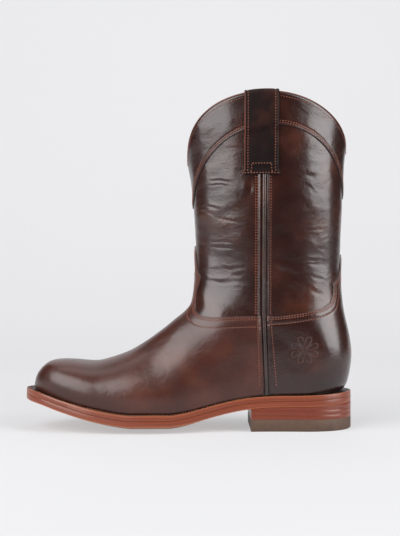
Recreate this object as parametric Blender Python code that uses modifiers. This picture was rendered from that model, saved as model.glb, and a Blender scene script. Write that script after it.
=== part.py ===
"""A left roper boot: a pull-on leather boot with a low heel and a scalloped collar.

The toe points to -X, the outer side of the foot to -Y and the leg up, and the sole
stands on Z = 0. All sizes are in metres.
"""

import math
from collections import namedtuple

import bmesh
import bpy
import numpy as np
from mathutils import Vector

# Sizes of the last, the form that the boot is pulled over
LAST_LENGTH = 0.2854  # feather line, from toe to heel
BALL_WIDTH = 0.0945  # feather line, across the ball
INSTEP_HEIGHT = 0.0925  # top of the instep above the feather line
TOE_ROUND = 0.062  # length over which the toe closes
HEEL_ROUND = 0.036  # length over which the heel closes
FOOT_TUCK = 0.07  # share of the width that the wall tucks in at the feather line
TUCK_HEIGHT = 0.022  # height over which it does

# Sizes of the leg
SHAFT_HEIGHT = 0.2725  # heel seat to the top of the collar's sides
SHAFT_WIDTH = 0.092  # side to side at the collar
SHAFT_ROUND = 0.070  # length over which the back of the leg closes
COLLAR_DIP = 0.0535  # depth of the dips at front and back below the sides
COLLAR_LEAN = 0.13  # how far the sides' crest leans to the front
COLLAR_START = 1.6  # how late up the leg the collar's curve sets in
CREST_FRONT = 0.78  # how round the collar's crest falls to the front, and to the back
CREST_BACK = 1.05
LEG_WIDEST = 0.52  # share of a section at which the leg's front is full
OPENS_FROM = 0.12  # share of the shaft's height where the heel's round opens to the leg's
OPENS_OVER = 0.40  # share of the shaft's height over which it does

# Sizes of the leather
WALL = 0.0024
PANEL = 0.0010  # thickness of a panel laid over the upper
GAP = 0.0003  # clearance between touching pieces

# Sizes of the sole
TOE_SPRING = 0.028  # rise of the outsole at its tip
HEEL_RISE = 0.021  # rise of the outsole at the front of the heel
CROWN = 0.0060  # rise of the forefoot's edges above its middle
CROWN_FROM = 0.2  # share of the half width at which those edges begin to rise
FLAT_SPOT = 0.0010  # depth to which the forefoot is flat
OUTSOLE = 0.0055
WELT = 0.0042
INSOLE = 0.0030
SEAM_REST = 0.0007  # the welt's rest above the outsole
FEATHER_REST = 0.0009  # the upper's rest above the welt
FILLER_REST = 0.0012  # the insole's rest above the outsole, clear of its bend
TOE_REACH = 0.0088  # how far the sole stands out beyond the feather line
BALL_REACH = 0.0048
WAIST_REACH = 0.0030
SEAT_REACH = 0.0036
HEEL_REACH = 0.0098
WELT_SET_BACK = 0.0006  # the welt's edge behind the outsole's
WELT_LEDGE = 0.0040  # width of welt that lies under the insole
HEEL_LENGTH = 0.0949
HEEL_CAP = 0.0107
HEEL_LIFT = 0.0040

# Sizes of the panels, above the heel seat unless they say otherwise
TOPLINE = 0.0701  # where vamp and counter end at the sides
TONGUE_PEAK = 0.1343
TONGUE_WIDTH = 0.030
TONGUE_REACH = 0.68  # share of the last's length that the tongue stays ahead of
COUNTER_PEAK = 0.1268
COUNTER_PEAK_WIDTH = 0.040
COUNTER_REACH = 0.82  # share of the last's length that its peak stays behind
COUNTER_RISE = 0.004  # rise of its topline from the side seam to the back
PEAK_LAP = 0.008  # how far the peaks' outlines reach down into the panels
BAND_FRONT = 0.0433  # depth of the collar band below the collar's edge, at the front seam
BAND_BACK = 0.0452
BAND_SIDE = 0.0300
SEAM_ALONG = 0.7415  # the side seam, as a share of the last's length
SEAM_LEAN = 0.0027  # how far it leans back between the topline and the heel seat
PIPING_WIDTH = 0.0040
PIPING_HEIGHT = 0.0026
STRAP_WIDTH = 0.031
STRAP_THICKNESS = 0.0014
STRAP_DROP = 0.0745  # length of the strap below the collar
STRAP_AHEAD = 0.0024  # how far the strap's middle lies ahead of the side seam
STRAP_STEP = 0.006  # how far below the collar band the strap begins to step over it
STRAP_STEP_RUN = 0.005  # height over which it does
STRAP_TURN = 0.0005  # how far below the collar's edge the strap begins to turn over
BINDING_HEIGHT = 0.0014
BINDING_REST = 3.4 * GAP  # the bead's rest above the collar's edge, clear of its mitres

# How finely each form is divided
FOOT_ROWS = 24
LEG_ROWS = 13
SIDE_COLUMNS = 12
SOLE_ROWS = 24
HEEL_ROWS = 10

LATERAL, MEDIAL = -1, 1
MERGE = 1e-6

# The feather line: half widths as shares of half the ball's width, along the last
Feather = namedtuple("Feather", "along lateral medial")
FEATHER = [
    Feather(0.00, 0.860, 0.980),
    Feather(0.12, 0.900, 0.985),
    Feather(0.22, 0.955, 1.000),
    Feather(0.30, 1.000, 0.990),
    Feather(0.36, 1.015, 0.955),
    Feather(0.44, 0.975, 0.860),
    Feather(0.54, 0.860, 0.730),
    Feather(0.64, 0.740, 0.650),
    Feather(0.74, 0.675, 0.630),
    Feather(0.84, 0.660, 0.645),
    Feather(0.93, 0.655, 0.650),
    Feather(1.00, 0.650, 0.650),
]

# The outsole's underside along its middle: shares of toe spring, heel rise and crown
SoleLine = namedtuple("SoleLine", "along toe heel crown")
SOLE_LINE = [
    SoleLine(0.000, 1.000, 0.000, 0.00),
    SoleLine(0.053, 0.875, 0.000, 0.33),
    SoleLine(0.106, 0.646, 0.000, 0.55),
    SoleLine(0.181, 0.346, 0.000, 0.83),
    SoleLine(0.250, 0.157, 0.000, 0.95),
    SoleLine(0.330, 0.030, 0.000, 1.00),
    SoleLine(0.430, 0.000, 0.025, 1.00),
    SoleLine(0.485, 0.000, 0.157, 0.85),
    SoleLine(0.552, 0.000, 0.476, 0.53),
    SoleLine(0.621, 0.000, 0.800, 0.22),
    SoleLine(0.685, 0.000, 1.000, 0.05),
    SoleLine(0.840, 0.000, 1.100, 0.00),
    SoleLine(1.000, 0.000, 1.214, 0.00),
]

# How far the sole stands out, from the toe to the heel: shares of the five reaches
SoleEdge = namedtuple("SoleEdge", "run toe ball waist seat heel")
SOLE_EDGE = [
    SoleEdge(0.000, 1.00, 0.00, 0.00, 0.00, 0.00),
    SoleEdge(0.129, 0.57, 0.43, 0.00, 0.00, 0.00),
    SoleEdge(0.245, 0.08, 0.92, 0.00, 0.00, 0.00),
    SoleEdge(0.400, 0.00, 1.00, 0.00, 0.00, 0.00),
    SoleEdge(0.600, 0.00, 0.00, 1.00, 0.00, 0.00),
    SoleEdge(0.720, 0.00, 0.00, 0.00, 1.00, 0.00),
    SoleEdge(0.800, 0.00, 0.00, 0.00, 0.77, 0.23),
    SoleEdge(0.887, 0.00, 0.00, 0.00, 0.29, 0.71),
    SoleEdge(1.000, 0.00, 0.00, 0.00, 0.00, 1.00),
]

# Foot sections: the top point along the last and its rise as a share of the instep,
# the feather point along the last, the top's half width against the feather's, where
# down the section it is widest, and how square its shoulders are
FootSection = namedtuple("FootSection", "top_along rise feather_along top_width widest square")
FOOT_SECTIONS = [
    FootSection(0.000, 0.000, 0.000, 1.00, 0.80, 2.5),
    FootSection(0.005, 0.092, 0.007, 1.00, 0.80, 2.5),
    FootSection(0.017, 0.181, 0.028, 1.00, 0.80, 2.5),
    FootSection(0.036, 0.257, 0.052, 1.00, 0.80, 2.5),
    FootSection(0.058, 0.310, 0.084, 1.00, 0.80, 2.5),
    FootSection(0.093, 0.355, 0.125, 1.00, 0.80, 2.4),
    FootSection(0.149, 0.388, 0.180, 1.00, 0.80, 2.3),
    FootSection(0.199, 0.412, 0.236, 1.00, 0.80, 2.2),
    FootSection(0.250, 0.477, 0.299, 1.00, 0.80, 2.1),
    FootSection(0.310, 0.570, 0.369, 0.97, 0.78, 2.0),
    FootSection(0.368, 0.675, 0.446, 0.92, 0.75, 1.9),
    FootSection(0.416, 0.782, 0.523, 0.97, 0.70, 1.9),
    FootSection(0.463, 0.896, 0.611, 1.08, 0.64, 1.9),
    FootSection(0.508, 1.000, 0.720, 1.17, 0.58, 1.9),
]

# Ankle sections, whose ends are still on the feather line: the front point along the
# last and its height as a share of the shaft, and the feather point along the last
AnkleSection = namedtuple("AnkleSection", "front_along front_height feather_along front_width square")
ANKLE_SECTIONS = [
    AnkleSection(0.5220, 0.342, 0.853, 1.163, 2.0),
    AnkleSection(0.5256, 0.392, 0.958, 1.156, 2.0),
]

# Leg sections: the front point along the last, its height and the back point's height
# as shares of the shaft, the front's half width against the back's, the back's half
# width as a share of half the shaft's, and how square the front is
LegSection = namedtuple(
    "LegSection", "front_along front_height back_height front_width width square"
)
LEG_SECTIONS = [
    LegSection(0.5256, 0.431, 0.000, 1.160, 0.720, 2.0),
    LegSection(0.5252, 0.472, 0.101, 1.154, 0.735, 2.0),
    LegSection(0.5238, 0.519, 0.204, 1.188, 0.728, 2.0),
    LegSection(0.5210, 0.571, 0.306, 1.149, 0.772, 2.1),
    LegSection(0.5186, 0.622, 0.409, 1.077, 0.848, 2.2),
    LegSection(0.5172, 0.666, 0.519, 1.017, 0.920, 2.3),
    LegSection(0.5137, 0.710, 0.626, 0.995, 0.960, 2.4),
    LegSection(0.5074, 0.747, 0.725, 0.990, 0.990, 2.5),
    LegSection(0.5011, 0.779, 0.819, 0.990, 1.000, 2.6),
]

# The back seam: heights as shares of the shaft, and places along the last
BackLine = namedtuple("BackLine", "height along")
BACK_LINE = [
    BackLine(0.000, 1.0000),
    BackLine(0.018, 1.0135),
    BackLine(0.039, 1.0210),
    BackLine(0.081, 1.0288),
    BackLine(0.122, 1.0322),
    BackLine(0.163, 1.0285),
    BackLine(0.204, 1.0214),
    BackLine(0.246, 1.0119),
    BackLine(0.288, 1.0049),
    BackLine(0.369, 0.9985),
    BackLine(0.505, 1.0012),
    BackLine(0.651, 1.0056),
    BackLine(0.773, 1.0090),
    BackLine(0.819, 1.0145),
]

# The tongue's outline from the front: height between the topline and its peak, and
# half width as a share of half its own
PeakPoint = namedtuple("PeakPoint", "height width")
TONGUE_OUTLINE = [
    PeakPoint(1.00, 0.00),
    PeakPoint(0.87, 0.28),
    PeakPoint(0.74, 0.48),
    PeakPoint(0.63, 0.76),
    PeakPoint(0.56, 1.00),
    PeakPoint(0.46, 0.91),
    PeakPoint(0.35, 0.80),
    PeakPoint(0.21, 0.87),
    PeakPoint(0.10, 1.13),
    PeakPoint(0.03, 1.60),
    PeakPoint(0.00, 2.20),
]
COUNTER_OUTLINE = [
    PeakPoint(1.00, 0.00),
    PeakPoint(0.77, 0.33),
    PeakPoint(0.60, 0.68),
    PeakPoint(0.50, 1.00),
    PeakPoint(0.34, 1.03),
    PeakPoint(0.20, 1.20),
    PeakPoint(0.11, 1.50),
    PeakPoint(0.04, 1.65),
]


def spline(knots, values):
    """Give the natural cubic spline through the values as a function."""
    x = np.asarray(knots, float)
    y = np.asarray(values, float)
    step = np.diff(x)
    slope = np.diff(y) / step
    count = len(x)
    matrix = np.eye(count)
    right = np.zeros(count)
    for i in range(1, count - 1):
        matrix[i, i - 1 : i + 2] = step[i - 1], 2 * (step[i - 1] + step[i]), step[i]
        right[i] = 6 * (slope[i] - slope[i - 1])
    bend = np.linalg.solve(matrix, right)

    def value(at):
        i = int(np.clip(np.searchsorted(x, at) - 1, 0, count - 2))
        a, b, h = x[i + 1] - at, at - x[i], step[i]
        curve = (bend[i] * a**3 + bend[i + 1] * b**3) / (6 * h)
        first = (y[i] / h - bend[i] * h / 6) * a
        return float(curve + first + (y[i + 1] / h - bend[i + 1] * h / 6) * b)

    return value


def column(rows, name):
    """Read one named column of a table."""
    return [getattr(row, name) for row in rows]


def closing(share, square=2.0):
    """Close a half width from full at a share of one to nothing at zero."""
    left = 1 - min(max(share, 0.0), 1.0)
    return (1 - left**square) ** (1 / square)


def end_spaced(share):
    """Spread shares from zero to one, closest at both ends."""
    return (1 - math.cos(math.pi * share)) / 2


def ease(share):
    """Blend smoothly from zero to one."""
    share = min(max(share, 0.0), 1.0)
    return share * share * (3 - 2 * share)


# The last's plan, centred so that the sole lies evenly about the origin
SOLE_LENGTH = LAST_LENGTH + TOE_REACH + HEEL_REACH
SOLE_TOE = -SOLE_LENGTH / 2
LAST_TOE = SOLE_TOE + TOE_REACH
LAST_HEEL = LAST_TOE + LAST_LENGTH

feather_width = {
    side: spline(column(FEATHER, "along"), column(FEATHER, name))
    for side, name in ((LATERAL, "lateral"), (MEDIAL, "medial"))
}


def along(share):
    """Give X at a share of the last's length from the toe."""
    return LAST_TOE + share * LAST_LENGTH


def full_half(x, side):
    """Give the last's half width at X, before its ends close."""
    share = min(max((x - LAST_TOE) / LAST_LENGTH, 0.0), 1.0)
    return feather_width[side](share) * BALL_WIDTH / 2


def feather_half(x, side):
    """Give the feather line's half width at X."""
    toe = closing((x - LAST_TOE) / TOE_ROUND)
    heel = closing((LAST_HEEL - x) / HEEL_ROUND)
    return full_half(x, side) * toe * heel


SOLE_COLUMNS = {
    name: spline(column(SOLE_LINE, "along"), column(SOLE_LINE, name))
    for name in ("toe", "heel", "crown")
}


def sole_height(x, y):
    """Give the height of the outsole's underside."""
    share = min(max((x - SOLE_TOE) / SOLE_LENGTH, 0.0), 1.0)
    toe = TOE_SPRING * SOLE_COLUMNS["toe"](share)
    heel = HEEL_RISE * SOLE_COLUMNS["heel"](share)
    side = LATERAL if y < 0 else MEDIAL
    out = min(abs(y) / full_half(x, side), 1.0)
    edge = max(0.0, (out - CROWN_FROM) / (1 - CROWN_FROM))
    crown = CROWN * max(SOLE_COLUMNS["crown"](share), 0.0) * edge**2
    return max(toe + heel - FLAT_SPOT, 0.0) + crown


def welt_top(x, y):
    """Give the height of the welt's upper face."""
    return sole_height(x, y) + OUTSOLE + SEAM_REST + WELT


def feather_height(x):
    """Give the height at which the upper's edge stands on the welt."""
    return welt_top(x, feather_half(x, LATERAL)) + FEATHER_REST


SEAT = feather_height(LAST_HEEL)
BACK_ALONG = spline(column(BACK_LINE, "height"), column(BACK_LINE, "along"))


def back_x(z):
    """Give X of the back seam at a height."""
    share = (z - SEAT) / SHAFT_HEIGHT
    return along(BACK_ALONG(min(max(share, 0.0), BACK_LINE[-1].height)))


class Upper:
    """The upper's outer face, as sections from front or top to back or feather line."""

    def __init__(self):
        foot, ankle, leg = FOOT_SECTIONS, ANKLE_SECTIONS, LEG_SECTIONS
        tops = [self.foot_top(row) for row in foot]
        tops += [self.leg_front(row) for row in ankle + leg]
        feathers = [row.feather_along for row in foot]
        feathers += column(ankle, "feather_along") + [1.0]
        ends = [(along(share), feather_height(along(share))) for share in feathers]
        backs = [SEAT + row.back_height * SHAFT_HEIGHT for row in leg]
        ends += [(back_x(z), z) for z in backs[1:]]
        knots = [0.0]
        for i in range(1, len(tops)):
            knots.append(knots[-1] + math.dist(tops[i], tops[i - 1]) + math.dist(ends[i], ends[i - 1]))
        self.heel_at = knots[len(feathers) - 1]
        self.throat_at = knots[len(foot) - 1]
        self.collar_at = knots[-1]
        legs = knots[len(feathers) - 1 :]
        self.top_x = spline(knots, [point[0] for point in tops])
        self.top_z = spline(knots, [point[1] for point in tops])
        self.feather = spline(knots[: len(feathers)], feathers)
        self.back_z = spline(legs, backs)
        self.leg_width = spline(legs, column(leg, "width"))
        self.front_width = spline(
            knots, column(foot, "top_width") + column(ankle + leg, "front_width")
        )
        rest = len(knots) - len(foot)
        self.widest = spline(knots, column(foot, "widest") + [LEG_WIDEST] * rest)
        self.square = spline(knots, column(foot, "square") + column(ankle + leg, "square"))
        self.rise_from = knots[len(feathers)]

    @staticmethod
    def foot_top(row):
        x = along(row.top_along)
        return x, feather_height(x) + row.rise * INSTEP_HEIGHT

    @staticmethod
    def leg_front(row):
        return along(row.front_along), SEAT + row.front_height * SHAFT_HEIGHT

    def end(self, at):
        """Give the section's last point: on the feather line or up the back seam."""
        if at <= self.heel_at:
            x = along(min(max(self.feather(at), 0.0), 1.0))
            return x, feather_height(x)
        z = self.back_z(at)
        return back_x(z), z

    def side(self, at, turn):
        """Give X, the level before the collar's rise, Z, and the share down the section."""
        share = end_spaced(turn)
        top = self.top_x(at), self.top_z(at)
        end = self.end(at)
        x = top[0] + share * (end[0] - top[0])
        level = top[1] + share * (end[1] - top[1])
        up = max(0.0, (at - self.rise_from) / (self.collar_at - self.rise_from))
        rise = up**COLLAR_START
        lean = 1 + COLLAR_LEAN * math.cos(math.pi * turn)
        crest = CREST_FRONT + (CREST_BACK - CREST_FRONT) * share
        lift = lean * math.sin(math.pi * turn) ** crest
        return x, level, level + COLLAR_DIP * rise * lift, share

    def half(self, at, x, level, share, side):
        """Give the half width at a place on a section."""
        if at <= self.heel_at:
            end = self.end(at)[0]
            toe = closing((end - LAST_TOE) / TOE_ROUND)
            rear = full_half(end, side) * toe / (1 - FOOT_TUCK)
        else:
            rear = self.leg_width(at) * SHAFT_WIDTH / 2
        front = rear * self.front_width(at)
        core = front + (rear - front) * ease(share)
        leg = ease(((level - SEAT) / SHAFT_HEIGHT - OPENS_FROM) / OPENS_OVER)
        length = HEEL_ROUND + (SHAFT_ROUND - HEEL_ROUND) * leg
        heel = closing((back_x(level) - x) / length)
        low = 1 - min(max((level - feather_height(x)) / TUCK_HEIGHT, 0.0), 1.0)
        tuck = 1 - FOOT_TUCK * low * low
        shoulder = closing(share / self.widest(at), self.square(at))
        return core * shoulder * heel * tuck

    def point(self, at, turn, side):
        """Give a point of the outer face: how far along, how far round, and which side."""
        x, level, z, share = self.side(at, turn)
        return Vector((x, side * self.half(at, x, level, share, side), z))

    def feather_at(self, share):
        """Find the section whose end is at a share of the feather line."""
        low, high = 0.0, self.heel_at
        for _ in range(40):
            middle = (low + high) / 2
            low, high = (middle, high) if self.feather(middle) < share else (low, middle)
        return (low + high) / 2

    def rows(self):
        """Space the sections out, closest where toe and heel close."""
        foot = [self.feather_at(end_spaced(i / FOOT_ROWS)) for i in range(1, FOOT_ROWS)]
        leg = self.collar_at - self.heel_at
        return [0.0] + foot + [self.heel_at + leg * i / LEG_ROWS for i in range(LEG_ROWS + 1)]

    def at_height(self, turn, z):
        """Find the section that passes a height at a given turn."""
        low, high = self.throat_at, self.collar_at
        for _ in range(40):
            middle = (low + high) / 2
            low, high = (middle, high) if self.side(middle, turn)[2] < z else (low, middle)
        return (low + high) / 2

    def at_place(self, x, z, side):
        """Find the point of the outer face at X and Z on one side of the boot."""
        at, turn = self.heel_at, 0.5
        small = 1e-4
        for _ in range(40):
            px, _, pz, _ = self.side(at, turn)
            ax, _, az, _ = self.side(at + small, turn)
            tx, _, tz, _ = self.side(at, turn + small)
            a, b = (ax - px) / small, (tx - px) / small
            c, d = (az - pz) / small, (tz - pz) / small
            det = a * d - b * c
            gap_x, gap_z = x - px, z - pz
            at += min(max((d * gap_x - b * gap_z) / det, -0.02), 0.02)
            turn += min(max((a * gap_z - c * gap_x) / det, -0.1), 0.1)
            at = min(max(at, 0.01), self.collar_at - 2 * small)
            turn = min(max(turn, 0.02), 0.98)
        return self.point(at, turn, side)


UPPER = Upper()


def material(name, colour, roughness, metallic=0.0):
    made = bpy.data.materials.new(name)
    made.use_nodes = True
    made.diffuse_color = (*colour, 1.0)
    shader = made.node_tree.nodes["Principled BSDF"]
    shader.inputs["Base Color"].default_value = (*colour, 1.0)
    shader.inputs["Roughness"].default_value = roughness
    shader.inputs["Metallic"].default_value = metallic
    return made


def mesh_object(name, points, faces, collection, finish=None, offset=0.0):
    """Make an object from points and faces, merge what coincides and move it outwards."""
    mesh = bpy.data.meshes.new(name)
    mesh.from_pydata([tuple(point) for point in points], [], faces)
    shape = bmesh.new()
    shape.from_mesh(mesh)
    bmesh.ops.remove_doubles(shape, verts=shape.verts, dist=MERGE)
    shape.normal_update()
    if offset:
        for vertex, normal in [(v, v.normal.copy()) for v in shape.verts]:
            vertex.co += normal * offset
    shape.to_mesh(mesh)
    shape.free()
    mesh.update()
    made = bpy.data.objects.new(name, mesh)
    collection.objects.link(made)
    if finish:
        mesh.materials.append(finish)
        mesh.shade_smooth()
        mesh.set_sharp_from_angle(angle=math.radians(35))
    return made


def face_outwards(made):
    shape = bmesh.new()
    shape.from_mesh(made.data)
    bmesh.ops.recalc_face_normals(shape, faces=shape.faces)
    shape.to_mesh(made.data)
    shape.free()


def sheet(grid):
    """List the points and triangles of a grid of points, its halves alike."""
    wide = len(grid[0])
    points = [point for row in grid for point in row]
    faces = []
    for r in range(len(grid) - 1):
        for c in range(wide - 1):
            a, b = r * wide + c, (r + 1) * wide + c
            if c < (wide - 1) / 2:
                faces += [(a, a + 1, b), (a + 1, b + 1, b)]
            else:
                faces += [(a, a + 1, b + 1), (a, b + 1, b)]
    return points, faces


def round_boot():
    """List turn and side up the medial side, over the front and down the lateral side."""
    turns = [i / SIDE_COLUMNS for i in range(SIDE_COLUMNS + 1)]
    return [(turn, MEDIAL) for turn in reversed(turns)] + [(turn, LATERAL) for turn in turns[1:]]


def outer_face():
    """List the upper's outer face, a row for each section."""
    around = round_boot()
    return sheet([[UPPER.point(at, turn, side) for turn, side in around] for at in UPPER.rows()])


def thicken(target, thickness, offset):
    solid = target.modifiers.new("Thickness", "SOLIDIFY")
    solid.thickness = thickness
    solid.offset = offset


def cut(target, cutter, operation, solver="EXACT"):
    boolean = target.modifiers.new(operation.title(), "BOOLEAN")
    boolean.operation = operation
    boolean.solver = solver
    boolean.object = cutter


def prism(name, outline, axis, low, high, collection):
    """Make a cutter from an outline across Y or across X."""
    count = len(outline)
    points = []
    for depth in (low, high):
        for a, z in outline:
            points.append((a, depth, z) if axis == "Y" else (depth, a, z))
    faces = [tuple(range(count)), tuple(reversed(range(count, 2 * count)))]
    for i in range(count):
        j = (i + 1) % count
        faces.append((i, i + count, j + count, j))
    made = mesh_object(name, points, faces, collection)
    face_outwards(made)
    made.hide_render = True
    made.display_type = "WIRE"
    return made


def make_upper(parts, finish):
    made = mesh_object("upper", *outer_face(), parts, finish)
    thicken(made, WALL, -1)


def make_panel(name, cutter, parts, finish):
    """Lay a panel over the upper, cut from the upper's own face."""
    made = mesh_object(name, *outer_face(), parts, finish, offset=GAP)
    thicken(made, PANEL, 1)
    cut(made, cutter, "INTERSECT", "MANIFOLD")  # EXACT loses the counter's narrow triangles


def seam_x(z):
    """Give X of the side seam at a height."""
    return along(SEAM_ALONG) + SEAM_LEAN * max(0.0, SEAT + TOPLINE - z) / TOPLINE


def foot_line(low, high, count=18):
    """Follow the feather line, just above the welt."""
    clear = 3 * GAP
    xs = [low + (high - low) * i / count for i in range(count + 1)]
    return [(x, feather_height(min(max(x, LAST_TOE), LAST_HEEL)) + clear) for x in xs]


def peak_outline(table, foot, peak):
    """Give a peak's outline from the front, both sides, closed below the topline."""
    half = [(row.width, foot + row.height * (peak - foot)) for row in table]
    below = foot - PEAK_LAP
    left = [(-w, z) for w, z in reversed(half[1:])]
    return left + half + [(half[-1][0], below), (-half[-1][0], below)]


def panel_cutter(name, side_outline, front_outline, depth, cutters):
    """Join the cutter seen from the side with the one seen from the front."""
    wide = SHAFT_WIDTH
    made = prism(name, side_outline, "Y", -wide, wide, cutters)
    peak = prism(name + "_peak", front_outline, "X", *depth, cutters)
    cut(made, peak, "UNION")
    return made


def make_vamp(parts, cutters, finish):
    clear = PIPING_WIDTH / 2 + GAP
    front = SOLE_TOE - TOE_REACH
    top = SEAT + TOPLINE
    outline = foot_line(front, seam_x(SEAT) - clear) + [(seam_x(top) - clear, top), (front, top)]
    table = [PeakPoint(row.height, row.width * TONGUE_WIDTH / 2) for row in TONGUE_OUTLINE]
    peak = peak_outline(table, top, SEAT + TONGUE_PEAK)
    depth = front + GAP, along(TONGUE_REACH)
    cutter = panel_cutter("vamp_cutter", outline, peak, depth, cutters)
    make_panel("vamp", cutter, parts, finish)


def make_counter(parts, cutters, finish):
    clear = PIPING_WIDTH / 2 + GAP
    back = SOLE_TOE + SOLE_LENGTH + HEEL_REACH
    top = SEAT + TOPLINE
    outline = foot_line(seam_x(SEAT) + clear, back)
    outline += [(back, top + COUNTER_RISE), (seam_x(top) + clear, top)]
    table = [PeakPoint(row.height, row.width * COUNTER_PEAK_WIDTH / 2) for row in COUNTER_OUTLINE]
    peak = peak_outline(table, top, SEAT + COUNTER_PEAK)
    depth = along(COUNTER_REACH), back - GAP
    cutter = panel_cutter("counter_cutter", outline, peak, depth, cutters)
    make_panel("counter", cutter, parts, finish)


def band_height(turn):
    """Give the height of the collar band's lower line at a given turn."""
    share = end_spaced(turn)
    collar = LEG_SECTIONS[-1]
    front = SEAT + collar.front_height * SHAFT_HEIGHT - BAND_FRONT
    back = SEAT + collar.back_height * SHAFT_HEIGHT - BAND_BACK
    rise = SEAT + SHAFT_HEIGHT - BAND_SIDE - (front + back) / 2
    round_front, round_back = 0.95, 1.05
    crest = round_front + (round_back - round_front) * share
    return front + (back - front) * share + rise * math.sin(math.pi * turn) ** crest


def make_collar_band(parts, finish, rows=4):
    around = round_boot()
    starts = [UPPER.at_height(turn, band_height(turn)) for turn, _ in around]
    grid = []
    for i in range(rows + 1):
        row = []
        for start, (turn, side) in zip(starts, around):
            row.append(UPPER.point(start + (UPPER.collar_at - start) * i / rows, turn, side))
        grid.append(row)
    made = mesh_object("collar_band", *sheet(grid), parts, finish, offset=GAP)
    thicken(made, PANEL, 1)


def make_collar_binding(parts, finish):
    """Run a rounded bead round the collar, above the upper's and the band's edges."""
    count = 2 * SIDE_COLUMNS
    middle = (PANEL + GAP - WALL) / 2
    half = (PANEL + GAP + WALL) / 2
    edge = []
    for i in range(count):
        turn = 1 - abs(1 - 2 * i / count)
        edge.append(UPPER.point(UPPER.collar_at, turn, MEDIAL if i < SIDE_COLUMNS else LATERAL))
    loops = []
    for i in range(count):
        onward = (edge[(i + 1) % count] - edge[i]).normalized()
        run = (onward + (edge[i] - edge[i - 1]).normalized()).normalized()
        outward = Vector((0, 0, 1)).cross(run).normalized()
        up = run.cross(outward).normalized() / run.dot(onward)
        centre = edge[i] + outward * middle + up * BINDING_REST
        shape = [(-1.0, 0.0), (-0.9, 0.6), (-0.4, 1.0), (0.4, 1.0), (0.9, 0.6), (1.0, 0.0)]
        loops.append([centre + outward * half * a + up * BINDING_HEIGHT * b for a, b in shape])
    points = [point for loop in loops for point in loop]
    wide = len(loops[0])
    faces = []
    for i in range(count):
        j = (i + 1) % count
        for c in range(wide):
            d = (c + 1) % wide
            faces.append((i * wide + c, j * wide + c, j * wide + d, i * wide + d))
    made = mesh_object("collar_binding", points, faces, parts, finish)
    face_outwards(made)


def closed_run(loops):
    """List the points and faces of a closed run of equal loops, capped at both ends."""
    wide = len(loops[0])
    points = [point for loop in loops for point in loop]
    faces = [tuple(range(wide)), tuple(reversed(range(len(points) - wide, len(points))))]
    for i in range(len(loops) - 1):
        for c in range(wide):
            d = (c + 1) % wide
            a, b = i * wide, (i + 1) * wide
            faces.append((a + c, b + c, b + d, a + d))
    return points, faces


def make_side_piping(name, side, parts, finish, stations=20):
    """Run the half-round piping up the side seam, from the welt to the strap's end."""
    low = feather_height(seam_x(SEAT)) + 3 * GAP
    high = SEAT + SHAFT_HEIGHT - STRAP_DROP - GAP
    rest = 2 * GAP
    loops = []
    for i in range(stations + 1):
        z = low + (high - low) * i / stations
        x = seam_x(z)
        centre = UPPER.at_place(x, z, side)
        fore = UPPER.at_place(x - PIPING_WIDTH / 2, z, side)
        aft = UPPER.at_place(x + PIPING_WIDTH / 2, z, side)
        across = (aft - fore).normalized()
        out = across.cross(Vector((0, 0, 1))).normalized() * -side
        out = out if out.y * side > 0 else -out
        loop = []
        for step in range(7):
            angle = math.pi * step / 6
            level = rest + (PIPING_HEIGHT - rest) * math.sin(angle)
            loop.append(centre - across * math.cos(angle) * PIPING_WIDTH / 2 + out * level)
        loops.append(loop)
    made = mesh_object(name, *closed_run(loops), parts, finish)
    face_outwards(made)


def make_pull_strap(name, side, parts, finish, columns=4, steps=7):
    """Loop a strap over the collar, down its outside and down its inside."""
    middle = along(SEAM_ALONG) - STRAP_AHEAD
    over_band = PANEL + 2 * GAP
    inside = WALL + 3 * GAP
    grid = []
    for i in range(columns + 1):
        x = middle + STRAP_WIDTH * (i / columns - 0.5)
        collar = collar_height(x)
        bottom = SEAT + SHAFT_HEIGHT - STRAP_DROP
        crest = collar + BINDING_REST + BINDING_HEIGHT + 2 * GAP
        band = band_height(turn_at(x))
        path = []
        for step in range(steps + 1):
            z = bottom + (collar - STRAP_TURN - bottom) * step / steps
            over = ease((z - band + STRAP_STEP) / STRAP_STEP_RUN)
            out = GAP + over * over_band
            path.append((UPPER.at_place(x, z, side).y * side + out, z))
        edge = UPPER.at_place(x, collar - STRAP_TURN, side).y * side
        outer, inner = edge + GAP + over_band, edge - inside
        centre, reach = (outer + inner) / 2, (outer - inner) / 2
        for turn in (0.18, 0.36, 0.5, 0.64, 0.82):
            angle = math.pi * turn
            lift = (crest - collar) * math.sin(angle)
            path.append((centre + reach * math.cos(angle), collar + lift))
        for step in range(steps, -1, -1):
            z = bottom + (collar - STRAP_TURN - bottom) * step / steps
            path.append((UPPER.at_place(x, z, side).y * side - inside, z))
        grid.append([Vector((x, y * side, z)) for y, z in path])
    if side == LATERAL:
        grid.reverse()
    made = mesh_object(name, *sheet(grid), parts, finish)
    thicken(made, STRAP_THICKNESS, 1)


def turn_at(x):
    """Find how far round the collar X lies."""
    front = UPPER.top_x(UPPER.collar_at)
    back = UPPER.end(UPPER.collar_at)[0]
    return math.acos(1 - 2 * (x - front) / (back - front)) / math.pi


def collar_height(x):
    return UPPER.side(UPPER.collar_at, turn_at(x))[2]


REACHES = {
    "toe": TOE_REACH,
    "ball": BALL_REACH,
    "waist": WAIST_REACH,
    "seat": SEAT_REACH,
    "heel": HEEL_REACH,
}
SOLE_MIX = {name: spline(column(SOLE_EDGE, "run"), column(SOLE_EDGE, name)) for name in REACHES}


def plan_point(run, side, reach):
    """Give a point beside the feather line, from the toe (0) to the heel (1)."""

    def on_line(at):
        x = along(end_spaced(at))
        turned = side if 0 <= at <= 1 else -side
        return Vector((x, turned * feather_half(x, turned), 0))

    small = 1e-3
    direction = (on_line(run + small) - on_line(run - small)).normalized()
    outward = Vector((direction.y, -direction.x, 0)) * -side
    return on_line(run) + outward * reach


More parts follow.
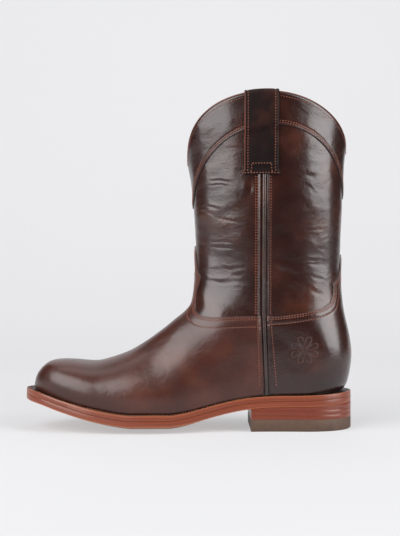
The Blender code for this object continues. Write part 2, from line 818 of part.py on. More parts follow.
def sole_reach(run):
    """Give how far the sole stands out beyond the feather line."""
    mix = [(SOLE_MIX[name](run), reach) for name, reach in REACHES.items()]
    return sum(share * reach for share, reach in mix)


def run_at(x, side):
    """Find how far along the sole's edge X lies."""
    low, high = 0.0, 1.0
    for _ in range(40):
        middle = (low + high) / 2
        if plan_point(middle, side, sole_reach(middle)).x < x:
            low = middle
        else:
            high = middle
    return (low + high) / 2


def plan_rows(runs, inset, across):
    """Give rows of plan points across the sole; inset moves the edge inwards."""
    rows = []
    for left_run, right_run in runs:
        left = plan_point(left_run, LATERAL, inset(left_run))
        right = plan_point(right_run, MEDIAL, inset(right_run))
        rows.append([left.lerp(right, share) for share in across])
    return rows


def rim(rows):
    """List the rows' edge once round."""
    loop = [row[0] for row in rows] + rows[-1][1:]
    loop += [row[-1] for row in reversed(rows[:-1])] + rows[0][-2:0:-1]
    return loop


def stack(name, levels, parts, finish):
    """Build a closed solid up through levels of rows, the first and last as faces."""
    points, faces = [], []

    def add(face_points):
        faces.append(tuple(range(len(points), len(points) + len(face_points))))
        points.extend(face_points)

    for level, flip in ((levels[0], True), (levels[-1], False)):
        for near, far in zip(level, level[1:]):
            for c in range(len(near) - 1):
                face = [near[c], far[c], far[c + 1], near[c + 1]]
                add(face[::-1] if flip else face)
    for lower, upper in zip(levels, levels[1:]):
        low, high = rim(lower), rim(upper)
        for i in range(len(low)):
            j = (i + 1) % len(low)
            add([low[i], low[j], high[j], high[i]])
    made = mesh_object(name, points, faces, parts, finish)
    face_outwards(made)
    return made


def raised(rows, height):
    """Lift plan rows to a height that is a function of their place."""
    return [[Vector((p.x, p.y, height(p.x, p.y))) for p in row] for row in rows]


ACROSS = [0.0, 0.14, 0.28, 0.4, 0.6, 0.72, 0.86, 1.0]
WHOLE_SOLE = [(i / SOLE_ROWS, i / SOLE_ROWS) for i in range(SOLE_ROWS + 1)]


def make_outsole(parts, finish):
    rows = plan_rows(WHOLE_SOLE, sole_reach, ACROSS)
    top = raised(rows, lambda x, y: sole_height(x, y) + OUTSOLE)
    stack("outsole", [raised(rows, sole_height), top], parts, finish)


def make_welt(parts, finish):
    outer = plan_rows(WHOLE_SOLE, lambda run: sole_reach(run) - WELT_SET_BACK, (0.0, 1.0))
    inner = plan_rows(WHOLE_SOLE, lambda run: -(WALL + 2 * GAP + WELT_LEDGE), (0.0, 1.0))

    def low(x, y):
        return sole_height(x, y) + OUTSOLE + SEAM_REST

    corners = [raised(outer, low), raised(outer, welt_top)]
    corners += [raised(inner, welt_top), raised(inner, low)]
    loops = [rim(rows) for rows in corners]
    points, faces = [], []
    for k in range(len(loops)):
        near, far = loops[k], loops[(k + 1) % len(loops)]
        for i in range(len(near)):
            j = (i + 1) % len(near)
            faces.append(tuple(range(len(points), len(points) + 4)))
            points.extend([near[i], near[j], far[j], far[i]])
    made = mesh_object("welt", points, faces, parts, finish)
    face_outwards(made)


def make_insole(parts, finish):
    """Make the insole, whose lower step fills the welt and whose flange rests on it."""
    narrow = plan_rows(WHOLE_SOLE, lambda run: -(WALL + 3 * GAP + WELT_LEDGE), ACROSS)
    wide = plan_rows(WHOLE_SOLE, lambda run: -(WALL + 3 * GAP), ACROSS)

    def floor(x, y):
        return sole_height(x, y) + OUTSOLE + FILLER_REST

    def flange(x, y):
        return welt_top(x, y) + GAP

    def face(x, y):
        return welt_top(x, y) + GAP + INSOLE

    levels = [raised(narrow, floor), raised(narrow, flange), raised(wide, flange), raised(wide, face)]
    stack("insole", levels, parts, finish)


def make_heel(parts, leather, rubber):
    """Stack the heel: the rubber cap, two even lifts and the wedge under the seat."""
    breast = SOLE_TOE + SOLE_LENGTH - HEEL_LENGTH
    starts = {side: run_at(breast, side) for side in (LATERAL, MEDIAL)}
    runs = []
    for i in range(HEEL_ROWS + 1):
        share = math.sin(math.pi / 2 * i / HEEL_ROWS)
        runs.append(tuple(starts[s] + (1 - starts[s]) * share for s in (LATERAL, MEDIAL)))
    rows = plan_rows(runs, sole_reach, (0.0, 0.5, 1.0))

    def level(height):
        return raised(rows, lambda x, y: height)

    stack("heel_cap", [level(0.0), level(HEEL_CAP)], parts, rubber)
    bottom = HEEL_CAP + GAP
    for number in (1, 2):
        stack(f"heel_lift_{number}", [level(bottom), level(bottom + HEEL_LIFT)], parts, leather)
        bottom += HEEL_LIFT + GAP
    top = raised(rows, lambda x, y: sole_height(x, y) - GAP)
    stack("heel_lift_3", [level(bottom), top], parts, leather)


def clear_scene():
    for item in list(bpy.data.objects):
        bpy.data.objects.remove(item, do_unlink=True)


def make_collection(name):
    made = bpy.data.collections.new(name)
    bpy.context.scene.collection.children.link(made)
    return made


def main():
    clear_scene()
    parts = make_collection("roper_boot")
    cutters = make_collection("cutters")
    brown = material("brown calf leather", (0.055, 0.022, 0.016), 0.28)
    vamp_brown = material("vamp leather", (0.070, 0.030, 0.022), 0.35)
    strap_brown = material("dark strap leather", (0.022, 0.012, 0.010), 0.45)
    bead_brown = material("edge binding leather", (0.17, 0.06, 0.03), 0.45)
    lining = material("tan lining leather", (0.36, 0.20, 0.11), 0.65)
    edge_tan = material("sole edge leather", (0.32, 0.09, 0.04), 0.4)
    stack_brown = material("heel stack leather", (0.22, 0.05, 0.025), 0.4)
    rubber = material("olive brown rubber", (0.14, 0.08, 0.045), 0.6)
    make_upper(parts, brown)
    make_insole(parts, lining)
    make_welt(parts, edge_tan)
    make_outsole(parts, edge_tan)
    make_heel(parts, stack_brown, rubber)
    make_vamp(parts, cutters, vamp_brown)
    make_counter(parts, cutters, brown)
    make_collar_band(parts, brown)
    make_collar_binding(parts, bead_brown)
    for name, side in (("lateral", LATERAL), ("medial", MEDIAL)):
        make_side_piping("side_piping_" + name, side, parts, strap_brown)
        make_pull_strap("pull_strap_" + name, side, parts, strap_brown)


main()
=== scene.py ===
"""A left roper boot in polished brown leather: its fine surfaces, seams, stitches and studio.

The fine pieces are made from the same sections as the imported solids, so each lies where
its solid is. Lengths are in metres, the toe points to -X and the outer side to -Y.
"""

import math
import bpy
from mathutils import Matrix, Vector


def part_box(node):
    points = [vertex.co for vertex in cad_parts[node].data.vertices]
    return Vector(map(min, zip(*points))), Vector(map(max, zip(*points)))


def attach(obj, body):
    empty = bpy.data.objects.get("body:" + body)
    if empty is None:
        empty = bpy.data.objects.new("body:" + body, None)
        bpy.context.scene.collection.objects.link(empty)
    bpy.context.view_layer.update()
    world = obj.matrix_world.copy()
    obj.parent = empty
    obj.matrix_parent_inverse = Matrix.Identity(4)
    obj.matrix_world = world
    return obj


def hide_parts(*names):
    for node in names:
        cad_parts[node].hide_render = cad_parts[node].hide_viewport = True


bl_info = {
    "name": "Roper Boot",
    "version": (1, 0, 0),
    "blender": (4, 5, 0),
    "location": "View3D > Sidebar > Boot",
    "description": "Builds a pull-on leather boot with a scalloped collar and a stacked heel",
    "category": "Add Mesh",
}

from collections import namedtuple

import bmesh
import bpy
import numpy as np
from mathutils import Vector, kdtree, noise

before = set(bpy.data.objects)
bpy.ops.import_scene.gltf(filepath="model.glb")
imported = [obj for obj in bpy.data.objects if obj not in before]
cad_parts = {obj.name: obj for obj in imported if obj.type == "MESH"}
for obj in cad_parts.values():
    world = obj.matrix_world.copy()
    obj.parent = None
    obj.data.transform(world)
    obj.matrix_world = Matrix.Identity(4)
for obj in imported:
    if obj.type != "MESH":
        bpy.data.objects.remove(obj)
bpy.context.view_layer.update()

MM = 0.001
LATERAL, MEDIAL = -1, 1

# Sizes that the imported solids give
SOLE_LOW, SOLE_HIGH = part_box("outsole")
CAP_LOW, CAP_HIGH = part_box("heel_cap")
SOLE_TOE = SOLE_LOW.x
SOLE_LENGTH = SOLE_HIGH.x - SOLE_LOW.x
HEEL_BREAST = CAP_LOW.x

# Sizes of the last, the leg and the leather
TOE_REACH = 8.8 * MM  # how far the sole stands out beyond the last, here and below
BALL_REACH = 4.8 * MM
WAIST_REACH = 3.0 * MM
SEAT_REACH = 3.6 * MM
HEEL_REACH = 9.8 * MM
LAST_LENGTH = SOLE_LENGTH - TOE_REACH - HEEL_REACH
LAST_TOE = SOLE_TOE + TOE_REACH
LAST_HEEL = LAST_TOE + LAST_LENGTH
BALL_WIDTH = 94.5 * MM
INSTEP_HEIGHT = 92.5 * MM
TOE_ROUND = 62.0 * MM  # length over which the last closes to its toe, and to its heel
HEEL_ROUND = 36.0 * MM
FOOT_TUCK = 0.07  # share of its width by which the upper tucks in above the welt
TUCK_HEIGHT = 22.0 * MM  # height over which it does
SHAFT_HEIGHT = 272.5 * MM
SHAFT_WIDTH = 92.0 * MM
SHAFT_ROUND = 70.0 * MM
COLLAR_DIP = 53.5 * MM
COLLAR_LEAN = 0.13  # how far the sides' crest leans to the front
COLLAR_START = 1.6  # how late up the leg the collar's curve sets in
CREST_FRONT = 0.78  # how round the collar's crest falls to the front, and to the back
CREST_BACK = 1.05
LEG_WIDEST = 0.52  # share of a section at which the leg's front is full
OPENS_FROM = 0.12  # share of the shaft's height where the heel's round opens to the leg's
OPENS_OVER = 0.40  # share of the shaft's height over which it does
WALL = 2.4 * MM
PANEL = 1.0 * MM
GAP = 0.3 * MM

# Sizes of the sole
TOE_SPRING = 28.0 * MM
HEEL_RISE = 21.0 * MM
CROWN = 6.0 * MM
CROWN_FROM = 0.2  # share of the half width at which the sole's edges begin to rise
FLAT_SPOT = 1.0 * MM  # how far the forefoot is cut off flat where it meets the floor
OUTSOLE = 5.5 * MM
WELT = 4.2 * MM
SEAM_REST = 0.7 * MM  # clearance between outsole and welt, and between welt and upper
FEATHER_REST = 0.9 * MM
WELT_LEDGE = 4.0 * MM

# Sizes of the panels and trims
TOPLINE = 70.1 * MM
TONGUE_PEAK = 134.3 * MM
TONGUE_WIDTH = 30.0 * MM
TOPLINE_SAG = 2.2 * MM  # the vamp's line at the tongue, below the seam's end of it
COUNTER_SWEEP = 13.5 * MM  # how the counter's line curves up to the back
COUNTER_PEAK = 126.8 * MM
COUNTER_PEAK_WIDTH = 40.0 * MM
TONGUE_REACH = 0.68  # share of the last's length that the tongue stays ahead of
COUNTER_REACH = 0.82  # and that the counter's peak stays behind
COUNTER_LEVELS = 0.6  # share of its sweep at which the counter's top line levels off
PEAK_LAP = 8.0 * MM  # how far the peaks' outlines reach down into the panels
SKIVED_EDGE = 0.35  # a skived edge's thickness as a share of the panel's
EDGE_STEP = 0.35  # share of the edge's round at which the panel gets a line of points
PANEL_GROOVE = 0.6 * MM  # half width of the valley that a row of stitches draws in a panel
GROOVE_SIDE = 0.7 * MM  # where the panel gets lines of points beside a row
BAND_FRONT = 43.3 * MM  # depth below the collar's edge
BAND_BACK = 45.2 * MM
BAND_SIDE = 30.0 * MM
BAND_CREST_FRONT = 0.95  # how round the band's lower line falls to the front, and to the back
BAND_CREST_BACK = 1.05
SEAM_ALONG = 0.7415
SEAM_LEAN = 2.7 * MM
PIPING_WIDTH = 4.0 * MM
PIPING_HEIGHT = 2.6 * MM
PIPING_FILL = 0.9  # share of its channel that the piping fills
STRAP_WIDTH = 31.0 * MM
STRAP_THICKNESS = 1.4 * MM
STRAP_DROP = 74.5 * MM
STRAP_AHEAD = 2.4 * MM  # how far the strap's middle lies ahead of the side seam
STRAP_STEP = 6.0 * MM  # how far below the collar band the strap begins to step over it
STRAP_STEP_RUN = 5.0 * MM  # height over which it does
STRAP_TURN = 0.5 * MM  # how far below the collar's edge the strap turns over
STRAP_CLEAR = 1.2 * MM  # how far the strap's turn stands over the binding
STRAP_FLARE = 0.10  # how much wider the strap's sewn foot is
STRAP_FLARE_RUN = 0.07  # share of the strap's length over which it widens
STRAP_FOLD = 0.55 * MM  # height, place and half width of the swell of the folded edge
STRAP_FOLD_AT = 1.1 * MM
STRAP_FOLD_WIDTH = 0.9 * MM
STRAP_ROUND = 0.5 * MM  # how far the folded edge itself is rounded off
STITCH_SINK = 0.25 * MM  # how deep the rows pull the strap
CUT_SHOWS = 0.8 * MM  # width of the strap's edge that shows its cut leather
ARCH_STEPS = 12  # steps of the strap's turn over the collar
BINDING_HEIGHT = 1.4 * MM
BINDING_MIDDLE = 0.45  # height of the bead's middle and half its height, as shares of that
BINDING_HALF = 0.70
BINDING_LIFT = 0.2 * MM

# How finely the leather is divided
TOE_ROWS = 42
MIDDLE_ROWS = 74
HEEL_ROWS = 24
LEG_ROWS = 190
SIDE_COLUMNS = 112
SEAM_FINER = 2.2  # how much closer the columns lie beside the side seam
SEAM_STRIP = 8.0 * MM  # half width of the strip where they do
HEEL_LINE = 16.0 * MM  # how far from the line between foot and leg the skin is evened out
STITCH_SAMPLES = 200  # points along a row at the side seam, and round the collar
COLLAR_SAMPLES = 800
SOLE_RUNS = 150

# The last's half widths where it meets the welt, as shares of half the ball's width
Feather = namedtuple("Feather", "along lateral medial")
FEATHER = [
    Feather(0.00, 0.860, 0.980),
    Feather(0.12, 0.900, 0.985),
    Feather(0.22, 0.955, 1.000),
    Feather(0.30, 1.000, 0.990),
    Feather(0.36, 1.015, 0.955),
    Feather(0.44, 0.975, 0.860),
    Feather(0.54, 0.860, 0.730),
    Feather(0.64, 0.740, 0.650),
    Feather(0.74, 0.675, 0.630),
    Feather(0.84, 0.660, 0.645),
    Feather(0.93, 0.655, 0.650),
    Feather(1.00, 0.650, 0.650),
]

# The underside's rise along the sole, as shares of the toe spring, heel rise and crown
SoleLine = namedtuple("SoleLine", "along toe heel crown")
SOLE_LINE = [
    SoleLine(0.000, 1.000, 0.000, 0.00),
    SoleLine(0.053, 0.875, 0.000, 0.33),
    SoleLine(0.106, 0.646, 0.000, 0.55),
    SoleLine(0.181, 0.346, 0.000, 0.83),
    SoleLine(0.250, 0.157, 0.000, 0.95),
    SoleLine(0.330, 0.030, 0.000, 1.00),
    SoleLine(0.430, 0.000, 0.025, 1.00),
    SoleLine(0.485, 0.000, 0.157, 0.85),
    SoleLine(0.552, 0.000, 0.476, 0.53),
    SoleLine(0.621, 0.000, 0.800, 0.22),
    SoleLine(0.685, 0.000, 1.000, 0.05),
    SoleLine(0.840, 0.000, 1.100, 0.00),
    SoleLine(1.000, 0.000, 1.214, 0.00),
]

# How much of each reach the sole's edge has on its run from the toe to the heel
SoleEdge = namedtuple("SoleEdge", "run toe ball waist seat heel")
SOLE_EDGE = [
    SoleEdge(0.000, 1.00, 0.00, 0.00, 0.00, 0.00),
    SoleEdge(0.129, 0.57, 0.43, 0.00, 0.00, 0.00),
    SoleEdge(0.245, 0.08, 0.92, 0.00, 0.00, 0.00),
    SoleEdge(0.400, 0.00, 1.00, 0.00, 0.00, 0.00),
    SoleEdge(0.600, 0.00, 0.00, 1.00, 0.00, 0.00),
    SoleEdge(0.720, 0.00, 0.00, 0.00, 1.00, 0.00),
    SoleEdge(0.800, 0.00, 0.00, 0.00, 0.77, 0.23),
    SoleEdge(0.887, 0.00, 0.00, 0.00, 0.29, 0.71),
    SoleEdge(1.000, 0.00, 0.00, 0.00, 0.00, 1.00),
]
REACHES = {
    "toe": TOE_REACH,
    "ball": BALL_REACH,
    "waist": WAIST_REACH,
    "seat": SEAT_REACH,
    "heel": HEEL_REACH,
}

# The sections of the foot lean back from the instep's line to the last's edge: places along
# the last, rise as a share of the instep's height, fullness at the top against the edge, share
# of the way down at which they are full, and how square they are (2 is round)
FootSection = namedtuple("FootSection", "top_along rise feather_along top_width widest square")
FOOT_SECTIONS = [
    FootSection(0.000, 0.000, 0.000, 1.00, 0.80, 2.5),
    FootSection(0.005, 0.092, 0.007, 1.00, 0.80, 2.5),
    FootSection(0.017, 0.181, 0.028, 1.00, 0.80, 2.5),
    FootSection(0.036, 0.257, 0.052, 1.00, 0.80, 2.5),
    FootSection(0.058, 0.310, 0.084, 1.00, 0.80, 2.5),
    FootSection(0.093, 0.355, 0.125, 1.00, 0.80, 2.4),
    FootSection(0.149, 0.388, 0.180, 1.00, 0.80, 2.3),
    FootSection(0.199, 0.412, 0.236, 1.00, 0.80, 2.2),
    FootSection(0.250, 0.477, 0.299, 1.00, 0.80, 2.1),
    FootSection(0.310, 0.570, 0.369, 0.97, 0.78, 2.0),
    FootSection(0.368, 0.675, 0.446, 0.92, 0.75, 1.9),
    FootSection(0.416, 0.782, 0.523, 0.97, 0.70, 1.9),
    FootSection(0.463, 0.896, 0.611, 1.08, 0.64, 1.9),
    FootSection(0.508, 1.000, 0.720, 1.17, 0.58, 1.9),
]

# The sections of the ankle and the leg in the same way, with heights as shares of the shaft's
AnkleSection = namedtuple("AnkleSection", "front_along front_height feather_along front_width square")
ANKLE_SECTIONS = [
    AnkleSection(0.5220, 0.342, 0.853, 1.163, 2.0),
    AnkleSection(0.5256, 0.392, 0.958, 1.156, 2.0),
]

LegSection = namedtuple(
    "LegSection", "front_along front_height back_height front_width width square"
)
LEG_SECTIONS = [
    LegSection(0.5256, 0.431, 0.000, 1.160, 0.720, 2.0),
    LegSection(0.5252, 0.472, 0.101, 1.154, 0.735, 2.0),
    LegSection(0.5238, 0.519, 0.204, 1.188, 0.728, 2.0),
    LegSection(0.5210, 0.571, 0.306, 1.149, 0.772, 2.1),
    LegSection(0.5186, 0.622, 0.409, 1.077, 0.848, 2.2),
    LegSection(0.5172, 0.666, 0.519, 1.017, 0.920, 2.3),
    LegSection(0.5137, 0.710, 0.626, 0.995, 0.960, 2.4),
    LegSection(0.5074, 0.747, 0.725, 0.990, 0.990, 2.5),
    LegSection(0.5011, 0.779, 0.819, 0.990, 1.000, 2.6),
]

# The back seam: heights as shares of the shaft's, places as shares of the last's length
BackLine = namedtuple("BackLine", "height along")
BACK_LINE = [
    BackLine(0.000, 1.0000),
    BackLine(0.018, 1.0135),
    BackLine(0.039, 1.0210),
    BackLine(0.081, 1.0288),
    BackLine(0.122, 1.0322),
    BackLine(0.163, 1.0285),
    BackLine(0.204, 1.0214),
    BackLine(0.246, 1.0119),
    BackLine(0.288, 1.0049),
    BackLine(0.369, 0.9985),
    BackLine(0.505, 1.0012),
    BackLine(0.651, 1.0056),
    BackLine(0.773, 1.0090),
    BackLine(0.819, 1.0145),
]

# The peaks' outlines seen from the front: shares of the peak's height and of its width
PeakPoint = namedtuple("PeakPoint", "height width")
TONGUE_OUTLINE = [
    PeakPoint(1.00, 0.00),
    PeakPoint(0.87, 0.28),
    PeakPoint(0.74, 0.48),
    PeakPoint(0.63, 0.76),
    PeakPoint(0.56, 1.00),
    PeakPoint(0.46, 0.91),
    PeakPoint(0.35, 0.80),
    PeakPoint(0.21, 0.87),
    PeakPoint(0.10, 1.13),
    PeakPoint(0.03, 1.60),
    PeakPoint(0.00, 2.20),
]
COUNTER_OUTLINE = [
    PeakPoint(1.00, 0.00),
    PeakPoint(0.77, 0.33),
    PeakPoint(0.60, 0.68),
    PeakPoint(0.50, 1.00),
    PeakPoint(0.34, 1.03),
    PeakPoint(0.20, 1.20),
    PeakPoint(0.11, 1.50),
    PeakPoint(0.04, 1.65),
]

# Creases of the leather in the boot's side view: middle, length, slope in degrees, bow of
# the middle upwards, half width and depth, all in millimetres; a negative depth is a ridge
Crease = namedtuple("Crease", "x z length slope bow width depth")
CREASES = [
    Crease(28.0, 227.0, 26.0, -4.0, 0.8, 1.1, 0.50),
    Crease(27.0, 223.6, 22.0, -6.0, 0.6, 1.0, 0.35),
    Crease(21.0, 203.5, 16.0, -14.0, 1.0, 1.1, 0.45),
    Crease(17.0, 198.8, 15.0, -18.0, 1.0, 1.0, 0.40),
    Crease(36.0, 192.0, 24.0, -10.0, 0.5, 1.2, 0.25),
    Crease(32.0, 168.5, 34.0, 0.0, -0.8, 1.3, 0.45),
    Crease(30.0, 172.6, 28.0, -2.0, -0.6, 1.2, 0.35),
    Crease(36.0, 149.5, 42.0, 2.0, -2.0, 1.4, 0.50),
    Crease(48.0, 144.0, 22.0, 14.0, -1.0, 1.2, 0.35),
    Crease(32.0, 137.0, 44.0, -3.0, -1.8, 1.7, 0.55),
    Crease(38.0, 131.5, 26.0, 3.0, -1.0, 1.3, 0.28),
    Crease(28.0, 141.0, 36.0, -3.0, -1.5, 1.4, -0.25),
    Crease(30.0, 146.2, 30.0, -2.0, -1.2, 1.1, 0.25),
    Crease(116.0, 184.2, 24.0, 0.0, 0.0, 1.2, 0.35),
    Crease(115.0, 187.5, 22.0, 2.0, 0.4, 1.1, 0.25),
    Crease(113.0, 155.2, 30.0, -3.0, 0.6, 1.3, 0.60),
    Crease(116.0, 152.0, 24.0, -4.0, 0.4, 1.2, 0.50),
    Crease(122.0, 166.0, 14.0, 0.0, 0.0, 1.4, 0.25),
    Crease(94.0, 144.0, 44.0, -16.0, 0.8, 2.2, 0.40),
    Crease(99.0, 139.5, 46.0, -20.0, 0.8, 2.0, 0.42),
    Crease(104.0, 133.5, 42.0, -24.0, 0.8, 2.2, 0.40),
    Crease(94.0, 129.0, 34.0, -27.0, 0.6, 2.0, 0.32),
    Crease(111.0, 127.0, 30.0, -20.0, 1.0, 2.0, 0.35),
    Crease(118.0, 139.0, 20.0, -12.0, 0.6, 1.4, 0.25),
    Crease(108.0, 222.0, 17.0, -38.0, 0.6, 1.1, 0.28),
    Crease(112.0, 219.0, 14.0, -42.0, 0.4, 1.0, 0.22),
    Crease(112.0, 231.5, 16.0, 3.0, 0.8, 2.2, 0.45),
    Crease(43.0, 257.0, 16.0, -4.0, -1.0, 1.2, 0.25),
    Crease(104.0, 206.0, 26.0, -32.0, 1.0, 2.6, 0.30),
    Crease(55.5, 221.0, 18.0, 84.0, 0.0, 2.6, 0.90),
    Crease(50.0, 236.0, 12.0, -30.0, 0.5, 1.2, 0.20),
    Crease(-41.0, 31.0, 20.0, -6.0, 1.2, 1.2, 0.22),
    Crease(-38.0, 34.5, 18.0, -4.0, 1.0, 1.2, 0.18),
    Crease(-33.0, 72.0, 34.0, 38.0, 2.5, 4.0, 0.50),
    Crease(-22.0, 76.0, 30.0, 48.0, 2.5, 3.6, 0.45),
    Crease(-8.0, 82.0, 28.0, 62.0, 2.0, 3.4, 0.45),
]
MEDIAL_SHIFT = (5.0 * MM, -4.0 * MM)  # the inner side's creases against the outer side's
CREASE_LIP = 0.55  # the height of the raised lip over a crease, as a share of its depth
CREASE_LIP_AT = 1.9  # how far over the crease the lip lies, in the crease's own widths
CREASE_LIP_WIDTH = 1.2
CREASE_UNEVEN = 0.9  # how far a crease's depth changes on its way
CREASE_WANDER = 1.6 * MM  # how far a crease strays from its even bow
WANDER_LENGTH = 9.0 * MM  # over which it strays
SLACK_LONG = 24.0 * MM  # the spacing of the leather's slow swells
SLACK_WIDE = 15.0 * MM  # and of its flatter ones, along and up the leg
SLACK_TALL = 8.0 * MM
SLOW_SHARE = 0.65  # share of the slow swells in the slack, the rest are the flatter ones
FIRM_HEIGHT = 0.30  # share of the shaft's height up to which the leather is stiffened
FIRM_SLACK = 0.10  # share of the slack that is left down there
QUIET_SEAM = 9.0 * MM  # the firm strip beside the side seam, where no crease runs
SIDES_MEET = 8.0 * MM  # width over which the lateral creases give way to the medial ones
LIP_WIDTH = 0.75 * MM  # half width of the leather's lip beside the piping
GROOVE_WIDTH = 0.8 * MM  # half width of the valley that a row of stitches draws

# The tooled flower on the counter
ROSETTE_X = 105.5 * MM
ROSETTE_Z = 74.0 * MM
ROSETTE_RADIUS = 13.5 * MM
ROSETTE_HEART = 0.14 * ROSETTE_RADIUS
PETAL_MIDDLE = 0.58 * ROSETTE_RADIUS  # how far out the middle of a petal lies
PETAL_REACH = 0.36 * ROSETTE_RADIUS  # half a petal's length
PETAL_SIDE = 0.17 * ROSETTE_RADIUS  # half a petal's width
PETAL_TAPER = 0.35  # how much a petal narrows to its foot
ROSETTE_PETALS = 8
TOOLED_LINE = 0.5 * MM

# Stitch rows, in from the edge that they follow
EDGE_ROW = 1.7 * MM
SECOND_ROW = 3.4 * MM
LOWER_ROW = 8.0 * MM
VAMP_LOWER_ROW = 10.2 * MM
COLLAR_ROW = 2.9 * MM
SEAM_ROW = 6.1 * MM
OUTER_SEAM_ROW = 7.6 * MM
SEAM_ROW_SPREAD = 3.0 * MM  # how far the rear row leaves the seam towards the welt
SEAM_LIP = 3.4 * MM
STRAP_ROW = 3.0 * MM
WELT_ROW = 3.0 * MM


class BootSizes(bpy.types.PropertyGroup):
    """Sizes of the boot's finish."""

    edge_round: bpy.props.FloatProperty(
        name="Edge round", description="Width over which a panel's edge is skived",
        default=0.9 * MM, unit="LENGTH",
    )
    stitch_length: bpy.props.FloatProperty(
        name="Stitch length", description="From one needle hole to the next",
        default=2.5 * MM, unit="LENGTH",
    )
    thread_radius: bpy.props.FloatProperty(
        name="Thread radius", description="Half the thread's thickness",
        default=0.42 * MM, unit="LENGTH",
    )
    groove_depth: bpy.props.FloatProperty(
        name="Groove depth", description="How deep a stitch row pulls the leather in",
        default=0.30 * MM, unit="LENGTH",
    )
    seam_puff: bpy.props.FloatProperty(
        name="Seam puff", description="How far the leather stands up beside the piping",
        default=0.7 * MM, unit="LENGTH",
    )
    slack: bpy.props.FloatProperty(
        name="Slack", description="Height of the leather's slow unevenness",
        default=0.45 * MM, unit="LENGTH",
    )
    crease_depth: bpy.props.FloatProperty(
        name="Crease depth", description="Depth of the creases against the table's",
        default=0.55, subtype="FACTOR",
    )


class BootColours(bpy.types.PropertyGroup):
    """Colours of the boot, as sRGB hex."""

    shaft: bpy.props.StringProperty(
        name="Shaft", description="Polished calf of the leg and the heel", default="#29110c",
    )
    # its tone, lighter than the shaft's, is painted light: the soft light that the vamp catches from above
    vamp: bpy.props.StringProperty(
        name="Vamp", description="Softer calf over the foot", default="#3b1b13",
    )
    strap: bpy.props.StringProperty(
        name="Strap", description="Dark leather of the pull straps", default="#180d0c",
    )
    thread: bpy.props.StringProperty(
        name="Thread", description="Stitching thread", default="#824732",
    )
    edge: bpy.props.StringProperty(
        name="Sole edge", description="Dyed and burnished sole edge", default="#6c2f1a",
    )
    stack: bpy.props.StringProperty(
        name="Heel stack", description="Dyed leather of the heel", default="#662a17",
    )
    rubber: bpy.props.StringProperty(
        name="Heel cap", description="Rubber top piece", default="#523a2b",
    )
    lining: bpy.props.StringProperty(
        name="Lining", description="Undyed lining leather", default="#a9764c",
    )


class StageSizes(bpy.types.PropertyGroup):
    """Camera, floor and lights."""

    distance: bpy.props.FloatProperty(
        name="Camera distance", description="From the lens to the boot's middle plane",
        default=1.0, unit="LENGTH",
    )
    height: bpy.props.FloatProperty(
        name="Camera height", description="Lens above the floor", default=148.6 * MM, unit="LENGTH",
    )
    aside: bpy.props.FloatProperty(
        name="Camera aside", description="Lens beside the boot's middle",
        default=10.6 * MM, unit="LENGTH",
    )
    view_height: bpy.props.FloatProperty(
        name="View height", description="Height of the picture at the boot's middle plane",
        default=503.8 * MM, unit="LENGTH",
    )
    floor: bpy.props.StringProperty(
        name="Floor", description="Lit studio floor of white glass", default="#ededef",
    )
    floor_lit: bpy.props.FloatProperty(
        name="Floor lit", description="Share of the floor's colour that the lamps above light",
        default=0.30, subtype="FACTOR",
    )
    floor_glow: bpy.props.FloatProperty(
        name="Floor glow", description="Share of its brightness that comes from lamps below",
        default=0.50, subtype="FACTOR",
    )
    wall_glow: bpy.props.FloatProperty(
        name="Wall glow", description="What the lamps behind the wall add to that",
        default=0.1, subtype="FACTOR",
    )


def spline(knots, values):
    """Give the natural cubic spline through the values as a function."""
    x = np.asarray(knots, float)
    y = np.asarray(values, float)
    step = np.diff(x)
    slope = np.diff(y) / step
    count = len(x)
    matrix = np.eye(count)
    right = np.zeros(count)
    for i in range(1, count - 1):
        matrix[i, i - 1 : i + 2] = step[i - 1], 2 * (step[i - 1] + step[i]), step[i]
        right[i] = 6 * (slope[i] - slope[i - 1])
    bend = np.linalg.solve(matrix, right)

    def value(at):
        """Give the spline's value at a place or an array of places."""
        i = np.clip(np.searchsorted(x, at) - 1, 0, count - 2)
        a, b, h = x[i + 1] - at, at - x[i], step[i]
        curve = (bend[i] * a**3 + bend[i + 1] * b**3) / (6 * h)
        return curve + (y[i] / h - bend[i] * h / 6) * a + (y[i + 1] / h - bend[i + 1] * h / 6) * b

    return value


def column(rows, name):
    """Read one named column of a table."""
    return [getattr(row, name) for row in rows]


def closing(share, square=2.0):
    """Close a half width from full at a share of one to nothing at zero."""
    left = 1 - np.clip(share, 0.0, 1.0)
    return (1 - left**square) ** (1 / square)


def end_spaced(share):
    """Spread shares from zero to one, closest at both ends."""
    return (1 - np.cos(math.pi * share)) / 2


def ease(share):
    """Blend smoothly from zero to one."""
    share = np.clip(share, 0.0, 1.0)
    return share * share * (3 - 2 * share)


def bell(distance, width):
    """Give a soft bump of height one about zero."""
    return np.exp(-((distance / width) ** 2))


FEATHER_WIDTH = {
    side: spline(column(FEATHER, "along"), column(FEATHER, name))
    for side, name in ((LATERAL, "lateral"), (MEDIAL, "medial"))
}
SOLE_COLUMNS = {
    name: spline(column(SOLE_LINE, "along"), column(SOLE_LINE, name))
    for name in ("toe", "heel", "crown")
}
SOLE_MIX = {name: spline(column(SOLE_EDGE, "run"), column(SOLE_EDGE, name)) for name in REACHES}
BACK_ALONG = spline(column(BACK_LINE, "height"), column(BACK_LINE, "along"))


def along(share):
    """Give X at a share of the last's length from the toe."""
    return LAST_TOE + share * LAST_LENGTH


def full_half(x, side):
    """Give the last's half width at X, before its ends close."""
    share = np.clip((x - LAST_TOE) / LAST_LENGTH, 0.0, 1.0)
    width = np.where(side < 0, FEATHER_WIDTH[LATERAL](share), FEATHER_WIDTH[MEDIAL](share))
    return width * BALL_WIDTH / 2


def feather_half(x, side):
    """Give the feather line's half width at X."""
    toe = closing((x - LAST_TOE) / TOE_ROUND)
    heel = closing((LAST_HEEL - x) / HEEL_ROUND)
    return full_half(x, side) * toe * heel


